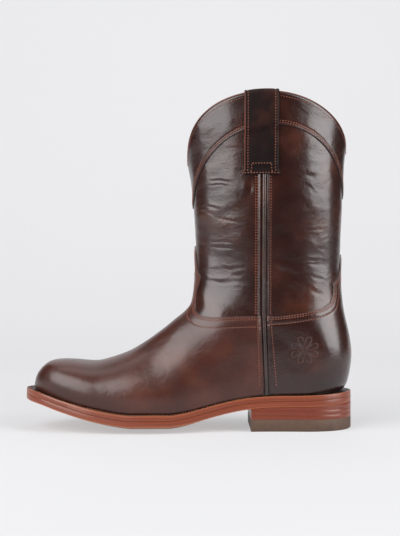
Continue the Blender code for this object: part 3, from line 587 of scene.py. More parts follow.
def sole_height(x, y):
    """Give the height of the outsole's underside."""
    share = np.clip((x - SOLE_TOE) / SOLE_LENGTH, 0.0, 1.0)
    toe = TOE_SPRING * SOLE_COLUMNS["toe"](share)
    heel = HEEL_RISE * SOLE_COLUMNS["heel"](share)
    out = np.minimum(abs(y) / full_half(x, np.where(y < 0, LATERAL, MEDIAL)), 1.0)
    crown = CROWN * np.maximum(SOLE_COLUMNS["crown"](share), 0.0)
    crown = crown * np.maximum(0.0, (out - CROWN_FROM) / (1 - CROWN_FROM)) ** 2
    return np.maximum(toe + heel - FLAT_SPOT, 0.0) + crown


def welt_top(x, y):
    """Give the height of the welt's upper face."""
    return sole_height(x, y) + OUTSOLE + SEAM_REST + WELT


def feather_height(x):
    """Give the height at which the upper's edge stands on the welt."""
    return welt_top(x, -feather_half(x, LATERAL)) + FEATHER_REST


SEAT = float(feather_height(LAST_HEEL))


def back_x(z):
    """Give X of the back seam at a height."""
    share = np.clip((z - SEAT) / SHAFT_HEIGHT, 0.0, BACK_LINE[-1].height)
    return along(BACK_ALONG(share))


class Upper:
    """The upper's outer face, as sections from front or top to back or feather line."""

    def __init__(self):
        foot, ankle, leg = FOOT_SECTIONS, ANKLE_SECTIONS, LEG_SECTIONS
        tops = []
        for row in foot:
            x = along(row.top_along)
            tops.append((x, float(feather_height(x)) + row.rise * INSTEP_HEIGHT))
        for row in ankle + leg:
            tops.append((along(row.front_along), SEAT + row.front_height * SHAFT_HEIGHT))
        feathers = column(foot, "feather_along") + column(ankle, "feather_along") + [1.0]
        ends = [(along(share), float(feather_height(along(share)))) for share in feathers]
        backs = [SEAT + row.back_height * SHAFT_HEIGHT for row in leg]
        ends += [(float(back_x(z)), z) for z in backs[1:]]
        knots = [0.0]
        for i in range(1, len(tops)):
            knots.append(knots[-1] + math.dist(tops[i], tops[i - 1]) + math.dist(ends[i], ends[i - 1]))
        self.heel_at = knots[len(feathers) - 1]
        self.collar_at = knots[-1]
        legs = knots[len(feathers) - 1 :]
        self.top_x = spline(knots, [point[0] for point in tops])
        self.top_z = spline(knots, [point[1] for point in tops])
        self.feather = spline(knots[: len(feathers)], feathers)
        self.back_z = spline(legs, backs)
        self.leg_width = spline(legs, column(leg, "width"))
        self.front_width = spline(
            knots, column(foot, "top_width") + column(ankle + leg, "front_width")
        )
        rest = len(knots) - len(foot)
        self.widest = spline(knots, column(foot, "widest") + [LEG_WIDEST] * rest)
        self.square = spline(knots, column(foot, "square") + column(ankle + leg, "square"))
        self.rise_from = knots[len(feathers)]

    def end(self, at):
        """Give the section's last point: on the feather line or up the back seam."""
        x = along(np.clip(self.feather(np.minimum(at, self.heel_at)), 0.0, 1.0))
        z = self.back_z(np.maximum(at, self.heel_at))
        on_foot = at <= self.heel_at
        return np.where(on_foot, x, back_x(z)), np.where(on_foot, feather_height(x), z)

    def side(self, at, turn):
        """Give X, the level before the collar's rise, Z, and the share down the section."""
        share = end_spaced(turn)
        end_x, end_z = self.end(at)
        x = self.top_x(at) + share * (end_x - self.top_x(at))
        level = self.top_z(at) + share * (end_z - self.top_z(at))
        rise = np.maximum(0.0, (at - self.rise_from) / (self.collar_at - self.rise_from))
        rise = rise**COLLAR_START
        lean = 1 + COLLAR_LEAN * np.cos(math.pi * turn)
        crest = CREST_FRONT + (CREST_BACK - CREST_FRONT) * share
        lift = lean * np.maximum(np.sin(math.pi * turn), 0.0) ** crest
        return x, level, level + COLLAR_DIP * rise * lift, share

    def point(self, at, turn, side):
        """Give points of the outer face: how far along, how far round, and which side."""
        x, level, z, share = self.side(at, turn)
        end = self.end(at)[0]
        toe = closing((end - LAST_TOE) / TOE_ROUND)
        foot = full_half(end, side) * toe / (1 - FOOT_TUCK)
        leg = self.leg_width(np.maximum(at, self.heel_at)) * SHAFT_WIDTH / 2
        rear = np.where(at <= self.heel_at, foot, leg)
        core = rear * (1 + (self.front_width(at) - 1) * (1 - ease(share)))
        up = ease(((level - SEAT) / SHAFT_HEIGHT - OPENS_FROM) / OPENS_OVER)
        heel = closing((back_x(level) - x) / (HEEL_ROUND + (SHAFT_ROUND - HEEL_ROUND) * up))
        low = 1 - np.clip((level - feather_height(x)) / TUCK_HEIGHT, 0.0, 1.0)
        half = core * closing(share / self.widest(at), self.square(at)) * heel
        half = half * (1 - FOOT_TUCK * low * low)
        return np.stack(np.broadcast_arrays(x, side * half, z), axis=-1)

    def feather_at(self, share):
        """Find the sections whose ends are at shares of the feather line."""
        low, high = np.zeros_like(share), np.full_like(share, self.heel_at)
        for _ in range(40):
            middle = (low + high) / 2
            below = self.feather(middle) < share
            low, high = np.where(below, middle, low), np.where(below, high, middle)
        return (low + high) / 2

    def at_place(self, x, z, side):
        """Find the points of the outer face at X and Z on one side of the boot."""
        x, z = np.broadcast_arrays(np.asarray(x, float), np.asarray(z, float))
        at, turn = np.full(x.shape, self.heel_at), np.full(x.shape, 0.5)
        small = 1e-4
        for _ in range(40):
            px, _, pz, _ = self.side(at, turn)
            ax, _, az, _ = self.side(at + small, turn)
            tx, _, tz, _ = self.side(at, turn + small)
            a, b, c, d = (ax - px) / small, (tx - px) / small, (az - pz) / small, (tz - pz) / small
            det = a * d - b * c
            at = at + np.clip((d * (x - px) - b * (z - pz)) / det, -0.02, 0.02)
            turn = turn + np.clip((a * (z - pz) - c * (x - px)) / det, -0.1, 0.1)
            at = np.clip(at, 0.01, self.collar_at - 2 * small)
            turn = np.clip(turn, 0.02, 0.98)
        return self.point(at, turn, side)


UPPER = Upper()


def seam_x(z):
    """Give X of the side seam at a height: upright, and leaning back below the topline."""
    return along(SEAM_ALONG) + SEAM_LEAN * np.maximum(0.0, SEAT + TOPLINE - z) / TOPLINE


def band_height(turn):
    """Give the height of the collar band's lower line at a given turn."""
    share = end_spaced(turn)
    collar = LEG_SECTIONS[-1]
    front = SEAT + collar.front_height * SHAFT_HEIGHT - BAND_FRONT
    back = SEAT + collar.back_height * SHAFT_HEIGHT - BAND_BACK
    rise = SEAT + SHAFT_HEIGHT - BAND_SIDE - (front + back) / 2
    crest = BAND_CREST_FRONT + (BAND_CREST_BACK - BAND_CREST_FRONT) * share
    return front + (back - front) * share + rise * np.maximum(np.sin(math.pi * turn), 0.0) ** crest


def turn_at(x):
    """Find how far round the collar X lies."""
    front = UPPER.top_x(UPPER.collar_at)
    back = UPPER.end(UPPER.collar_at)[0]
    return np.arccos(1 - 2 * (x - front) / (back - front)) / math.pi


def section_rows():
    """Space the sections about 2 mm apart, by equal angles where toe and heel close."""
    toe = TOE_ROUND * (1 - np.cos(np.linspace(0, math.pi / 2, TOE_ROWS + 1)))
    middle = np.linspace(TOE_ROUND, LAST_LENGTH - HEEL_ROUND, MIDDLE_ROWS + 1)
    heel = LAST_LENGTH - HEEL_ROUND * (1 - np.sin(np.linspace(0, math.pi / 2, HEEL_ROWS + 1)))
    feather = np.concatenate([toe[1:-1], middle[:-1], heel[:-1]]) / LAST_LENGTH
    leg = np.linspace(UPPER.heel_at, UPPER.collar_at, LEG_ROWS + 1)
    return np.concatenate([[0.0], UPPER.feather_at(feather), leg])


def side_turns():
    """Space the columns evenly round the leg, and closer beside the side seam."""
    turn = np.linspace(0, 1, 2001)
    at = (UPPER.heel_at + 2 * UPPER.collar_at) / 3
    place = UPPER.point(at, turn, LATERAL)
    middle = (place[1:, 0] + place[:-1, 0]) / 2 - along(SEAM_ALONG)
    step = np.linalg.norm(np.diff(place[:, :2], axis=0), axis=1)
    step *= 1 + SEAM_FINER * bell(middle, SEAM_STRIP)
    run = np.concatenate([[0.0], np.cumsum(step)])
    return np.interp(np.linspace(0, run[-1], SIDE_COLUMNS + 1), run, turn)


def crease_relief(x, z, wander):
    """Give how far the creases, which wander a little, raise the leather in the side view."""
    raised = np.zeros_like(x)
    for crease in CREASES:
        tilt = math.radians(crease.slope)
        away_x, away_z = x - crease.x * MM, z - crease.z * MM
        onward = (away_x * math.cos(tilt) + away_z * math.sin(tilt)) / (crease.length * MM / 2)
        across = away_z * math.cos(tilt) - away_x * math.sin(tilt)
        fade = np.maximum(1 - onward**2, 0.0)
        across = across - crease.bow * MM * fade + CREASE_WANDER * wander
        width = crease.width * MM
        lip = CREASE_LIP * bell(across - CREASE_LIP_AT * width, CREASE_LIP_WIDTH * width)
        fold = lip - bell(across, width)
        raised += crease.depth * MM * fold * fade**1.5 * (1 + CREASE_UNEVEN * wander)
    return raised


def seam_relief(x, z, sizes):
    """Give how the leather puffs beside the piping and sinks at its stitches."""
    away = abs(x - seam_x(z))
    strap_end = SEAT + SHAFT_HEIGHT - STRAP_DROP
    fade = ease((strap_end + 2 * MM - z) / (3 * MM)) * ease((z - feather_height(x)) / (12 * MM))
    lip = sizes.seam_puff * bell(away - SEAM_LIP, LIP_WIDTH)
    groove = sizes.groove_depth * bell(away - SEAM_ROW, GROOVE_WIDTH)
    return (lip - groove) * fade


def slack_relief(place, sizes):
    """Give the slow unevenness that hand lasting leaves, flatter on the firm heel and toe."""
    slow = np.array([noise.noise(Vector(point) / SLACK_LONG) for point in place])
    flat = place / np.array([SLACK_WIDE, SLACK_WIDE, SLACK_TALL])
    wavy = np.array([noise.noise(Vector(point)) for point in flat])
    loose = ease((place[:, 2] - SEAT) / (FIRM_HEIGHT * SHAFT_HEIGHT))
    swell = SLOW_SHARE * slow + (1 - SLOW_SHARE) * wavy
    return sizes.slack * swell * (FIRM_SLACK + (1 - FIRM_SLACK) * loose)


def skin_relief(place, sizes):
    """Give how far the leather stands off the last's own shape."""
    x, y, z = place[:, 0], place[:, 1], place[:, 2]
    outer = ease((0.5 * MM - y) / SIDES_MEET + 0.5)
    wander = np.array([noise.noise(Vector(point) / WANDER_LENGTH) for point in place])
    crease = outer * crease_relief(x, z, wander)
    crease += (1 - outer) * crease_relief(x - MEDIAL_SHIFT[0], z - MEDIAL_SHIFT[1], wander)
    quiet = ease(abs(x - seam_x(z)) / QUIET_SEAM - 0.4)
    crease = crease * sizes.crease_depth + slack_relief(place, sizes)
    return crease * quiet + seam_relief(x, z, sizes)


Skin = namedtuple("Skin", "place normal index turn relief")


def soften_heel_line(grid, rows, turns, passes=60):
    """Even out the fold where the foot's sections meet the leg's, away from the heel."""
    near = bell(rows - UPPER.heel_at, HEEL_LINE)[1:-1, None, None]
    free = (1 - end_spaced(turns) ** 6)[None, :, None]
    for _ in range(passes):
        even = (grid[2:] + grid[:-2]) / 2
        grid[1:-1] += 0.5 * near * free * (even - grid[1:-1])


def make_skin(sizes):
    """Lay out the upper's outer face as shared points with normals and relief."""
    rows, turns = section_rows(), side_turns()
    signed = np.concatenate([turns[::-1], -turns[1:]])
    side = np.where(np.arange(len(signed)) < len(turns), MEDIAL, LATERAL)
    grid = UPPER.point(rows[:, None], abs(signed)[None, :], side[None, :])
    soften_heel_line(grid, rows, abs(signed))
    index = np.arange(grid.shape[0] * grid.shape[1]).reshape(grid.shape[:2])
    index[0, :] = 0
    leg = rows >= UPPER.heel_at - 1e-9
    index[leg, -1] = index[leg, 0]
    place = grid.reshape(-1, 3)
    turn = np.broadcast_to(abs(signed), grid.shape[:2]).reshape(-1)
    normal = point_normals(place, index)
    return Skin(place, normal, index, turn, skin_relief(place, sizes))


def point_normals(place, index):
    """Give each point's normal from the faces round it."""
    a, b = index[:-1, :-1], index[:-1, 1:]
    c, d = index[1:, 1:], index[1:, :-1]
    across = np.cross(place[c] - place[a], place[d] - place[b])
    normal = np.zeros_like(place)
    for corner in (a, b, c, d):
        np.add.at(normal, corner.ravel(), across.reshape(-1, 3))
    length = np.linalg.norm(normal, axis=1, keepdims=True)
    return normal / np.maximum(length, 1e-12)


def grid_faces(index):
    """List a grid's faces, without the corners that coincide."""
    corners = np.stack([index[:-1, :-1], index[:-1, 1:], index[1:, 1:], index[1:, :-1]], axis=-1)
    return [tuple(dict.fromkeys(face)) for face in corners.reshape(-1, 4).tolist()]


def make_object(name, points, faces, finishes, finish_of=None, uvs=None, angle=35):
    """Make an object from points and faces, with finishes and, where given, UVs in metres."""
    mesh = bpy.data.meshes.new(name)
    mesh.from_pydata([tuple(point) for point in points], [], faces)
    if finish_of is not None:
        mesh.polygons.foreach_set("material_index", finish_of)
    if uvs is not None:
        layer = mesh.uv_layers.new(name="metres")
        layer.data.foreach_set("uv", np.asarray(uvs, np.float32).ravel())
    return finish_object(name, mesh, finishes, angle)


def finish_object(name, mesh, finishes, angle=35):
    """Merge the points that coincide, drop loose ones, shade smooth and link the object."""
    shape = bmesh.new()
    shape.from_mesh(mesh)
    bmesh.ops.delete(shape, geom=[v for v in shape.verts if not v.link_faces], context="VERTS")
    bmesh.ops.remove_doubles(shape, verts=shape.verts, dist=1e-6)
    shape.to_mesh(mesh)
    shape.free()
    made = bpy.data.objects.new(name, mesh)
    bpy.context.scene.collection.objects.link(made)
    for finish in finishes:
        mesh.materials.append(finish)
    mesh.shade_smooth()
    mesh.set_sharp_from_angle(angle=math.radians(angle))
    return made


def face_outwards(made):
    """Turn a closed mesh's faces to look outwards."""
    shape = bmesh.new()
    shape.from_mesh(made.data)
    bmesh.ops.recalc_face_normals(shape, faces=shape.faces)
    shape.to_mesh(made.data)
    shape.free()


def fit(piece, slot, *nodes):
    """Set a piece on the boot under the root body and hide the solids that it stands for; slot is not used.
    """
    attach(piece, "root")
    if nodes:
        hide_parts(*nodes)
    return piece


def split_at(shape, layer, level):
    """Split a sheet's faces where a value on its points crosses a level."""
    tiny = 0.01 * MM
    touched = []
    for vert in shape.verts:
        if abs(vert[layer] - level) < tiny:
            vert[layer] = level
            touched.append(vert)
    for edge in shape.edges[:]:
        a, b = edge.verts
        from_a, from_b = a[layer] - level, b[layer] - level
        if from_a * from_b < 0:
            vert = bmesh.utils.edge_split(edge, a, from_a / (from_a - from_b))[1]
            vert[layer] = level
            touched.append(vert)
    bmesh.ops.connect_verts(shape, verts=touched)


def edge_tree(shape, wanted, samples=8):
    """Gather points along a sheet's open edges into a search tree."""
    points = []
    for edge in shape.edges:
        if edge.is_boundary and wanted((edge.verts[0].co + edge.verts[1].co) / 2):
            for step in range(samples):
                points.append(edge.verts[0].co.lerp(edge.verts[1].co, (step + 0.5) / samples))
    tree = kdtree.KDTree(len(points))
    for number, point in enumerate(points):
        tree.insert(point, number)
    tree.balance()
    return tree


def cut_sheet(skin, inside):
    """Cut a sheet from the skin where a value, in metres, is above zero."""
    shape = bmesh.new()
    value = shape.verts.layers.float.new("inside")
    relief = shape.verts.layers.float.new("relief")
    normal = shape.verts.layers.float_vector.new("normal")
    near = np.zeros(len(skin.place), bool)
    used = inside > -4 * MM
    for face in grid_faces(skin.index):
        if used[list(face)].any():
            near[list(face)] = True
    made = {}
    for number in np.flatnonzero(near):
        vert = shape.verts.new(skin.place[number])
        vert[value], vert[relief] = inside[number], skin.relief[number]
        vert[normal] = skin.normal[number]
        made[number] = vert
    for face in grid_faces(skin.index):
        if len(face) > 2 and used[list(face)].any():
            shape.faces.new([made[number] for number in face])
    split_at(shape, value, 0.0)
    outside = [f for f in shape.faces if sum(v[value] for v in f.verts) <= 0]
    bmesh.ops.delete(shape, geom=outside, context="FACES")
    bmesh.ops.dissolve_degenerate(shape, edges=shape.edges, dist=0.03 * MM)
    return shape


def level_lines(shape, layer, level):
    """Follow the lines on a sheet where a value is at a level: points with their normals."""
    normal = shape.verts.layers.float_vector["normal"]
    crossing, joined = {}, {}
    for edge in shape.edges:
        a, b = edge.verts
        from_a, from_b = a[layer] - level, b[layer] - level
        if (from_a < 0) != (from_b < 0):
            share = from_a / (from_a - from_b)
            crossing[edge] = (a.co.lerp(b.co, share), a[normal].lerp(b[normal], share).normalized())
    for face in shape.faces:
        ends = [edge for edge in face.edges if edge in crossing]
        if len(ends) == 2:
            joined.setdefault(ends[0], []).append(ends[1])
            joined.setdefault(ends[1], []).append(ends[0])
    lines, seen = [], set()
    starts = [edge for edge in joined if len(joined[edge]) == 1] + list(joined)
    for start in starts:
        if start in seen:
            continue
        line, here = [], start
        while here is not None:
            seen.add(here)
            line.append(crossing[here])
            onward = [edge for edge in joined[here] if edge not in seen]
            here = onward[0] if onward else None
        if len(joined[start]) == 2:
            line.append(line[0])
        if len(line) > 3:
            lines.append(line)
    return lines


# A stitch from hole to hole: share of the way, height and thickness in thread radii
StitchStep = namedtuple("StitchStep", "share lift thick")
STITCH_SHAPE = [
    StitchStep(0.19, -1.1, 0.45),
    StitchStep(0.30, 0.25, 0.95),
    StitchStep(0.50, 0.60, 1.10),
    StitchStep(0.70, 0.25, 0.95),
    StitchStep(0.81, -1.1, 0.45),
]


def paired(places, normals):
    """Pair the points of a line with their normals, as vectors."""
    return [(Vector(place), Vector(normal)) for place, normal in zip(places, normals)]


class Stitching:
    """Rows of stitches, gathered into one mesh."""

    def __init__(self, sizes):
        self.length = sizes.stitch_length
        self.radius = sizes.thread_radius
        self.points, self.faces = [], []

    def row(self, line, clear=None):
        """Sew along a line of points and normals, where clear says that thread shows."""
        places = np.array([tuple(point) for point, _ in line])
        normals = np.array([tuple(normal) for _, normal in line])
        run = np.concatenate([[0.0], np.cumsum(np.linalg.norm(np.diff(places, axis=0), axis=1))])
        count = int(run[-1] / self.length)
        if count < 2:
            return
        holes = np.linspace(0, run[-1], count + 1)
        place = np.stack([np.interp(holes, run, places[:, k]) for k in range(3)], axis=-1)
        normal = np.stack([np.interp(holes, run, normals[:, k]) for k in range(3)], axis=-1)
        for start, end, out in zip(place, place[1:], normal):
            if clear is None or clear((start + end) / 2):
                self.stitch(Vector(start), Vector(end), Vector(out).normalized())

    def stitch(self, start, end, out):
        """Add one stitch, a short thread that dives into the leather at both ends."""
        onward = end - start
        aside = onward.cross(out).normalized()
        stations = STITCH_SHAPE
        base = len(self.points)
        sides = 6
        for share, lift, thick in stations:
            centre = start + onward * share + out * self.radius * lift
            for step in range(sides):
                angle = 2 * math.pi * step / sides
                ring = aside * math.cos(angle) + out * math.sin(angle)
                self.points.append(centre + ring * self.radius * thick)
        for k in range(len(stations) - 1):
            for step in range(sides):
                a, b = base + k * sides + step, base + k * sides + (step + 1) % sides
                self.faces.append((a, b, b + sides, a + sides))
        last = base + (len(stations) - 1) * sides
        self.faces.append(tuple(base + step for step in reversed(range(sides))))
        self.faces.append(tuple(last + step for step in range(sides)))

    def make(self, name, finish, slot):
        """Join all the rows into one object."""
        made = make_object(name, self.points, self.faces, [finish], angle=80)
        return fit(made, slot)


def make_rosette(skin_sizes, finish):
    """Tool a small flower of eight petals into the counter, as raised lines."""
    loops = []
    for petal in range(ROSETTE_PETALS):
        turn = 2 * math.pi * (petal + 0.5) / ROSETTE_PETALS
        angle = np.linspace(0, 2 * math.pi, 40, endpoint=False)
        out = PETAL_MIDDLE - PETAL_REACH * np.cos(angle)
        aside = PETAL_SIDE * np.sin(angle) * (1 - PETAL_TAPER * np.cos(angle))
        right = out * math.cos(turn) - aside * math.sin(turn)
        up = out * math.sin(turn) + aside * math.cos(turn)
        loops.append((right, up))
    angle = np.linspace(0, 2 * math.pi, 24, endpoint=False)
    loops.append((ROSETTE_HEART * np.cos(angle), ROSETTE_HEART * np.sin(angle)))
    points, faces = [], []
    sides = 6
    for right, up in loops:
        x, z = ROSETTE_X + right, ROSETTE_Z + up
        place = UPPER.at_place(x, z, LATERAL)
        onward = UPPER.at_place(x + MM, z, LATERAL) - place
        upward = UPPER.at_place(x, z + MM, LATERAL) - place
        normal = np.cross(onward, upward)
        normal *= -np.sign(normal[:, 1:2])
        normal /= np.linalg.norm(normal, axis=1, keepdims=True)
        lift = skin_relief(place, skin_sizes) + GAP + PANEL
        place = place + normal * lift[:, None]
        run = np.roll(place, -1, axis=0) - np.roll(place, 1, axis=0)
        run /= np.linalg.norm(run, axis=1, keepdims=True)
        across = np.cross(run, normal)
        base, count = len(points), len(place)
        for step in range(sides):
            around = 2 * math.pi * step / sides
            ring = across * math.cos(around) + normal * math.sin(around)
            points.extend(place + TOOLED_LINE * ring)
        index = base + np.arange(sides * count).reshape(sides, count)
        index = np.concatenate([index, index[:1]], axis=0)
        faces += grid_faces(np.concatenate([index, index[:, :1]], axis=1))
    made = make_object("counter_rosette", points, faces, [finish], angle=80)
    face_outwards(made)
    return made


def panel_round(depth, width):
    """Give a skived edge's thickness as a share of the panel's, at a depth from the edge."""
    return SKIVED_EDGE + (1 - SKIVED_EDGE) * closing(depth / width)


def close_sheet(shape, name, finishes, outer, inner):
    """Close a sheet into a solid from outer and inner heights along its normals."""
    normal = shape.verts.layers.float_vector["normal"]
    verts = list(shape.verts)
    base = {vert: vert.co.copy() for vert in verts}
    faces = list(shape.faces)
    rims = []
    for edge in shape.edges:
        if edge.is_boundary:
            loop = edge.link_loops[0]
            rims.append((loop.vert, loop.link_loop_next.vert))
    under = {}
    for vert in verts:
        out = vert[normal].normalized()
        under[vert] = shape.verts.new(base[vert] + out * inner(vert))
        vert.co = base[vert] + out * outer(vert)
    for face in faces:
        shape.faces.new([under[vert] for vert in reversed(face.verts)])
    for a, b in rims:
        shape.faces.new([b, a, under[a], under[b]])
    mesh = bpy.data.meshes.new(name)
    shape.to_mesh(mesh)
    shape.free()
    return finish_object(name, mesh, finishes, 50)


def make_panel(name, skin, inside, sizes, finishes, rows, top, stitching):
    """Make a panel over the skin with a skived edge, grooves and rows of stitches."""
    shape = cut_sheet(skin, inside)
    edge = shape.verts.layers.float.new("edge")
    row = shape.verts.layers.float.new("row")
    relief = shape.verts.layers.float["relief"]
    every, upper = edge_tree(shape, lambda place: True), edge_tree(shape, top)
    for vert in shape.verts:
        vert[edge] = every.find(vert.co)[2]
        vert[row] = upper.find(vert.co)[2]
    for level in (EDGE_STEP * sizes.edge_round, sizes.edge_round):
        split_at(shape, edge, level)
    for level in rows:
        for aside in (-GROOVE_SIDE, 0.0, GROOVE_SIDE):
            split_at(shape, row, level + aside)

    def height(vert):
        """Give how far the panel's outer face stands off the skin."""
        groove = sum(float(bell(vert[row] - level, PANEL_GROOVE)) for level in rows)
        thick = PANEL * float(panel_round(vert[edge], sizes.edge_round))
        return vert[relief] + GAP + thick - sizes.groove_depth * groove * float(ease(vert[edge] / MM))

    lines = [line for level in rows for line in level_lines(shape, row, level)]
    lift = PANEL + GAP - 0.5 * sizes.groove_depth
    tree = kdtree.KDTree(len(shape.verts))
    for number, vert in enumerate(shape.verts):
        tree.insert(vert.co, number)
    tree.balance()
    shape.verts.ensure_lookup_table()
    for line in lines:
        raised = []
        for place, out in line:
            near = shape.verts[tree.find(place)[1]]
            raised.append((place + out * (near[relief] + lift), out))
        stitching.row(raised)
    return close_sheet(shape, name, finishes, height, lambda vert: vert[relief] + 0.5 * GAP)


def peak_inside(place, table, foot, peak, width):
    """Give how far inside a peak's outline, seen from the front, places are."""
    heights = np.array([foot + row.height * (peak - foot) for row in table])
    halves = np.array([row.width * width / 2 for row in table])
    order = np.argsort(heights)
    half = np.interp(place[:, 2], heights[order], halves[order], left=halves[order][0], right=-1 * MM)
    return np.minimum(half - abs(place[:, 1]), peak - place[:, 2])


def vamp_inside(skin):
    """Give how far inside the vamp the skin's points are."""
    x, z = skin.place[:, 0], skin.place[:, 2]
    foot = SEAT + TOPLINE
    sag = TOPLINE_SAG * ease((seam_x(z) - x) / (TOPLINE - TOPLINE_SAG))
    body = np.minimum(seam_x(z) - PIPING_WIDTH / 2 - GAP - x, foot - sag - z)
    foot = foot - TOPLINE_SAG
    peak = peak_inside(skin.place, TONGUE_OUTLINE, foot, SEAT + TONGUE_PEAK, TONGUE_WIDTH)
    peak = np.minimum(peak, np.minimum(along(TONGUE_REACH) - x, z - foot + PEAK_LAP))
    low = z - feather_height(np.clip(x, LAST_TOE, LAST_HEEL)) - 3 * GAP
    return np.minimum(np.maximum(body, peak), low)


def counter_inside(skin):
    """Give how far inside the counter the skin's points are."""
    x, z = skin.place[:, 0], skin.place[:, 2]
    foot = SEAT + TOPLINE
    back = np.maximum((x - seam_x(z)) / (LAST_HEEL - seam_x(z)), 0.0)
    top = foot + COUNTER_SWEEP * np.minimum(back**2, COUNTER_LEVELS)
    body = np.minimum(x - seam_x(z) - PIPING_WIDTH / 2 - GAP, top - z)
    peak = peak_inside(skin.place, COUNTER_OUTLINE, foot, SEAT + COUNTER_PEAK, COUNTER_PEAK_WIDTH)
    peak = np.minimum(peak, np.minimum(x - along(COUNTER_REACH), z - foot + PEAK_LAP))
    low = z - feather_height(np.clip(x, LAST_TOE, LAST_HEEL)) - 3 * GAP
    return np.minimum(np.maximum(body, peak), low)


def band_inside(skin):
    """Give how far above the collar band's lower line the skin's points are."""
    return skin.place[:, 2] - band_height(skin.turn)


def make_upper(skin, finishes):
    """Make the boot's body: the outer leather, the coarser lining and the rims between."""
    outer = skin.place + skin.normal * skin.relief[:, None]
    inner = skin.place - skin.normal * WALL
    coarse = skin.index[::2, ::2]
    count = len(skin.place)
    faces = [face for face in grid_faces(skin.index) if len(face) > 2]
    lining = []
    for face in grid_faces(coarse):
        if len(face) > 2:
            lining.append(tuple(count + corner for corner in reversed(face)))
    rims = []

    def close_rim(fine, flip):
        """Close the leather's cut edge between the outer face and the coarser lining."""
        for k in range(0, len(fine) - 2, 2):
            a, b, c = fine[k], fine[k + 1], fine[k + 2]
            face = [a, b, c, count + c, count + a]
            face = list(dict.fromkeys(face))
            rims.append(tuple(reversed(face)) if flip else tuple(face))

    foot = int(np.flatnonzero(skin.index[:, 0] == skin.index[:, -1])[1])
    close_rim(skin.index[-1].tolist(), True)
    close_rim(skin.index[: foot + 1, 0].tolist(), True)
    close_rim(skin.index[: foot + 1, -1].tolist(), False)
    points = np.concatenate([outer, inner])
    finish_of = [0] * len(faces) + [1] * len(lining) + [0] * len(rims)
    faces = faces + lining + rims
    return make_object("shaft_and_lining", points, faces, finishes, finish_of, angle=60)


def make_bead(finish, steps=12):
    """Run the rounded binding round the collar's edge."""
    count = 4 * SIDE_COLUMNS
    place = np.arange(count) / count
    turn = 1 - abs(1 - 2 * place)
    side = np.where(place < 0.5, MEDIAL, LATERAL)
    edge = UPPER.point(np.full(count, UPPER.collar_at), turn, side)
    run = np.roll(edge, -1, axis=0) - np.roll(edge, 1, axis=0)
    run /= np.linalg.norm(run, axis=1, keepdims=True)
    outward = np.cross([0.0, 0.0, 1.0], run)
    outward /= np.linalg.norm(outward, axis=1, keepdims=True)
    up = np.cross(run, outward)
    middle, half = (PANEL + GAP - WALL) / 2, (PANEL + GAP + WALL) / 2
    loops = []
    for step in range(steps):
        angle = 2 * math.pi * step / steps
        aside = middle + half * math.cos(angle)
        rise = BINDING_HEIGHT * (BINDING_MIDDLE + BINDING_HALF * math.sin(angle))
        loops.append(edge + outward * aside + up * (rise + BINDING_LIFT))
    index = np.arange(steps * count).reshape(steps, count)
    index = np.concatenate([index, index[:1]], axis=0)
    index = np.concatenate([index, index[:, :1]], axis=1)
    made = make_object("collar_bead", np.concatenate(loops), grid_faces(index), [finish], angle=80)
    face_outwards(made)
    return made


def make_piping(name, side, finish, stations=150, steps=12):
    """Run the glossy half-round piping up a side seam."""
    low = float(feather_height(seam_x(SEAT))) + 3 * GAP
    z = np.linspace(low, SEAT + SHAFT_HEIGHT - STRAP_DROP - GAP, stations)
    x = seam_x(z)
    centre = UPPER.at_place(x, z, side)
    half = PIPING_WIDTH / 2
    across = UPPER.at_place(x + half, z, side) - UPPER.at_place(x - half, z, side)
    across /= np.linalg.norm(across, axis=1, keepdims=True)
    out = np.cross(across, [0.0, 0.0, 1.0])
    out *= np.sign(out[:, 1:2]) * side
    rest = 1.5 * GAP
    loops = []
    for step in range(steps):
        angle = 2 * math.pi * step / steps
        level = rest + (PIPING_HEIGHT - rest) * max(math.sin(angle), 0.0)
        loops.append(centre - across * math.cos(angle) * half * PIPING_FILL + out * level)
    index = np.arange(steps * stations).reshape(steps, stations)
    faces = grid_faces(np.concatenate([index, index[:1]], axis=0))
    faces += [tuple(index[:, 0].tolist()), tuple(index[::-1, -1].tolist())]
    made = make_object(name, np.concatenate(loops), faces, [finish], angle=60)
    face_outwards(made)
    return made


def strap_outline(side, columns=28, steps=60):
    """Give the strap's middle sheet: across it, then down outside, over and down inside."""
    middle = along(SEAM_ALONG) - STRAP_AHEAD
    share = np.linspace(-0.5, 0.5, columns + 1)[:, None]
    bottom = SEAT + SHAFT_HEIGHT - STRAP_DROP
    down = np.linspace(0.0, 1.0, steps + 1)[None, :]
    flare = 1 + STRAP_FLARE * ease(1 - down / STRAP_FLARE_RUN)
    x = middle + STRAP_WIDTH * share * flare
    collar = UPPER.side(UPPER.collar_at, turn_at(x))[2]
    z = bottom + (collar - STRAP_TURN - bottom) * down
    surface = UPPER.at_place(x, z, side)[..., 1] * side
    band = band_height(turn_at(x))
    over = ease((z - band + STRAP_STEP) / STRAP_STEP_RUN)
    outer = surface + GAP + (PANEL + 2 * GAP) * over
    inner = surface - WALL - 3 * GAP
    out_edge, in_edge = outer[:, -1:], inner[:, -1:]
    angle = np.linspace(0, math.pi, ARCH_STEPS + 1)[None, 1:-1]
    crest = STRAP_CLEAR + BINDING_HEIGHT
    arch_y = (out_edge + in_edge) / 2 + (out_edge - in_edge) / 2 * np.cos(angle)
    arch_z = collar[:, -1:] - STRAP_TURN + crest * np.sin(angle)
    y = np.concatenate([outer, arch_y, inner[:, ::-1]], axis=1)
    z = np.concatenate([z, arch_z, z[:, ::-1]], axis=1)
    x = np.concatenate([x, np.repeat(x[:, -1:], ARCH_STEPS - 1, axis=1), x[:, ::-1]], axis=1)
    return np.stack([x, y * side, z], axis=-1), share


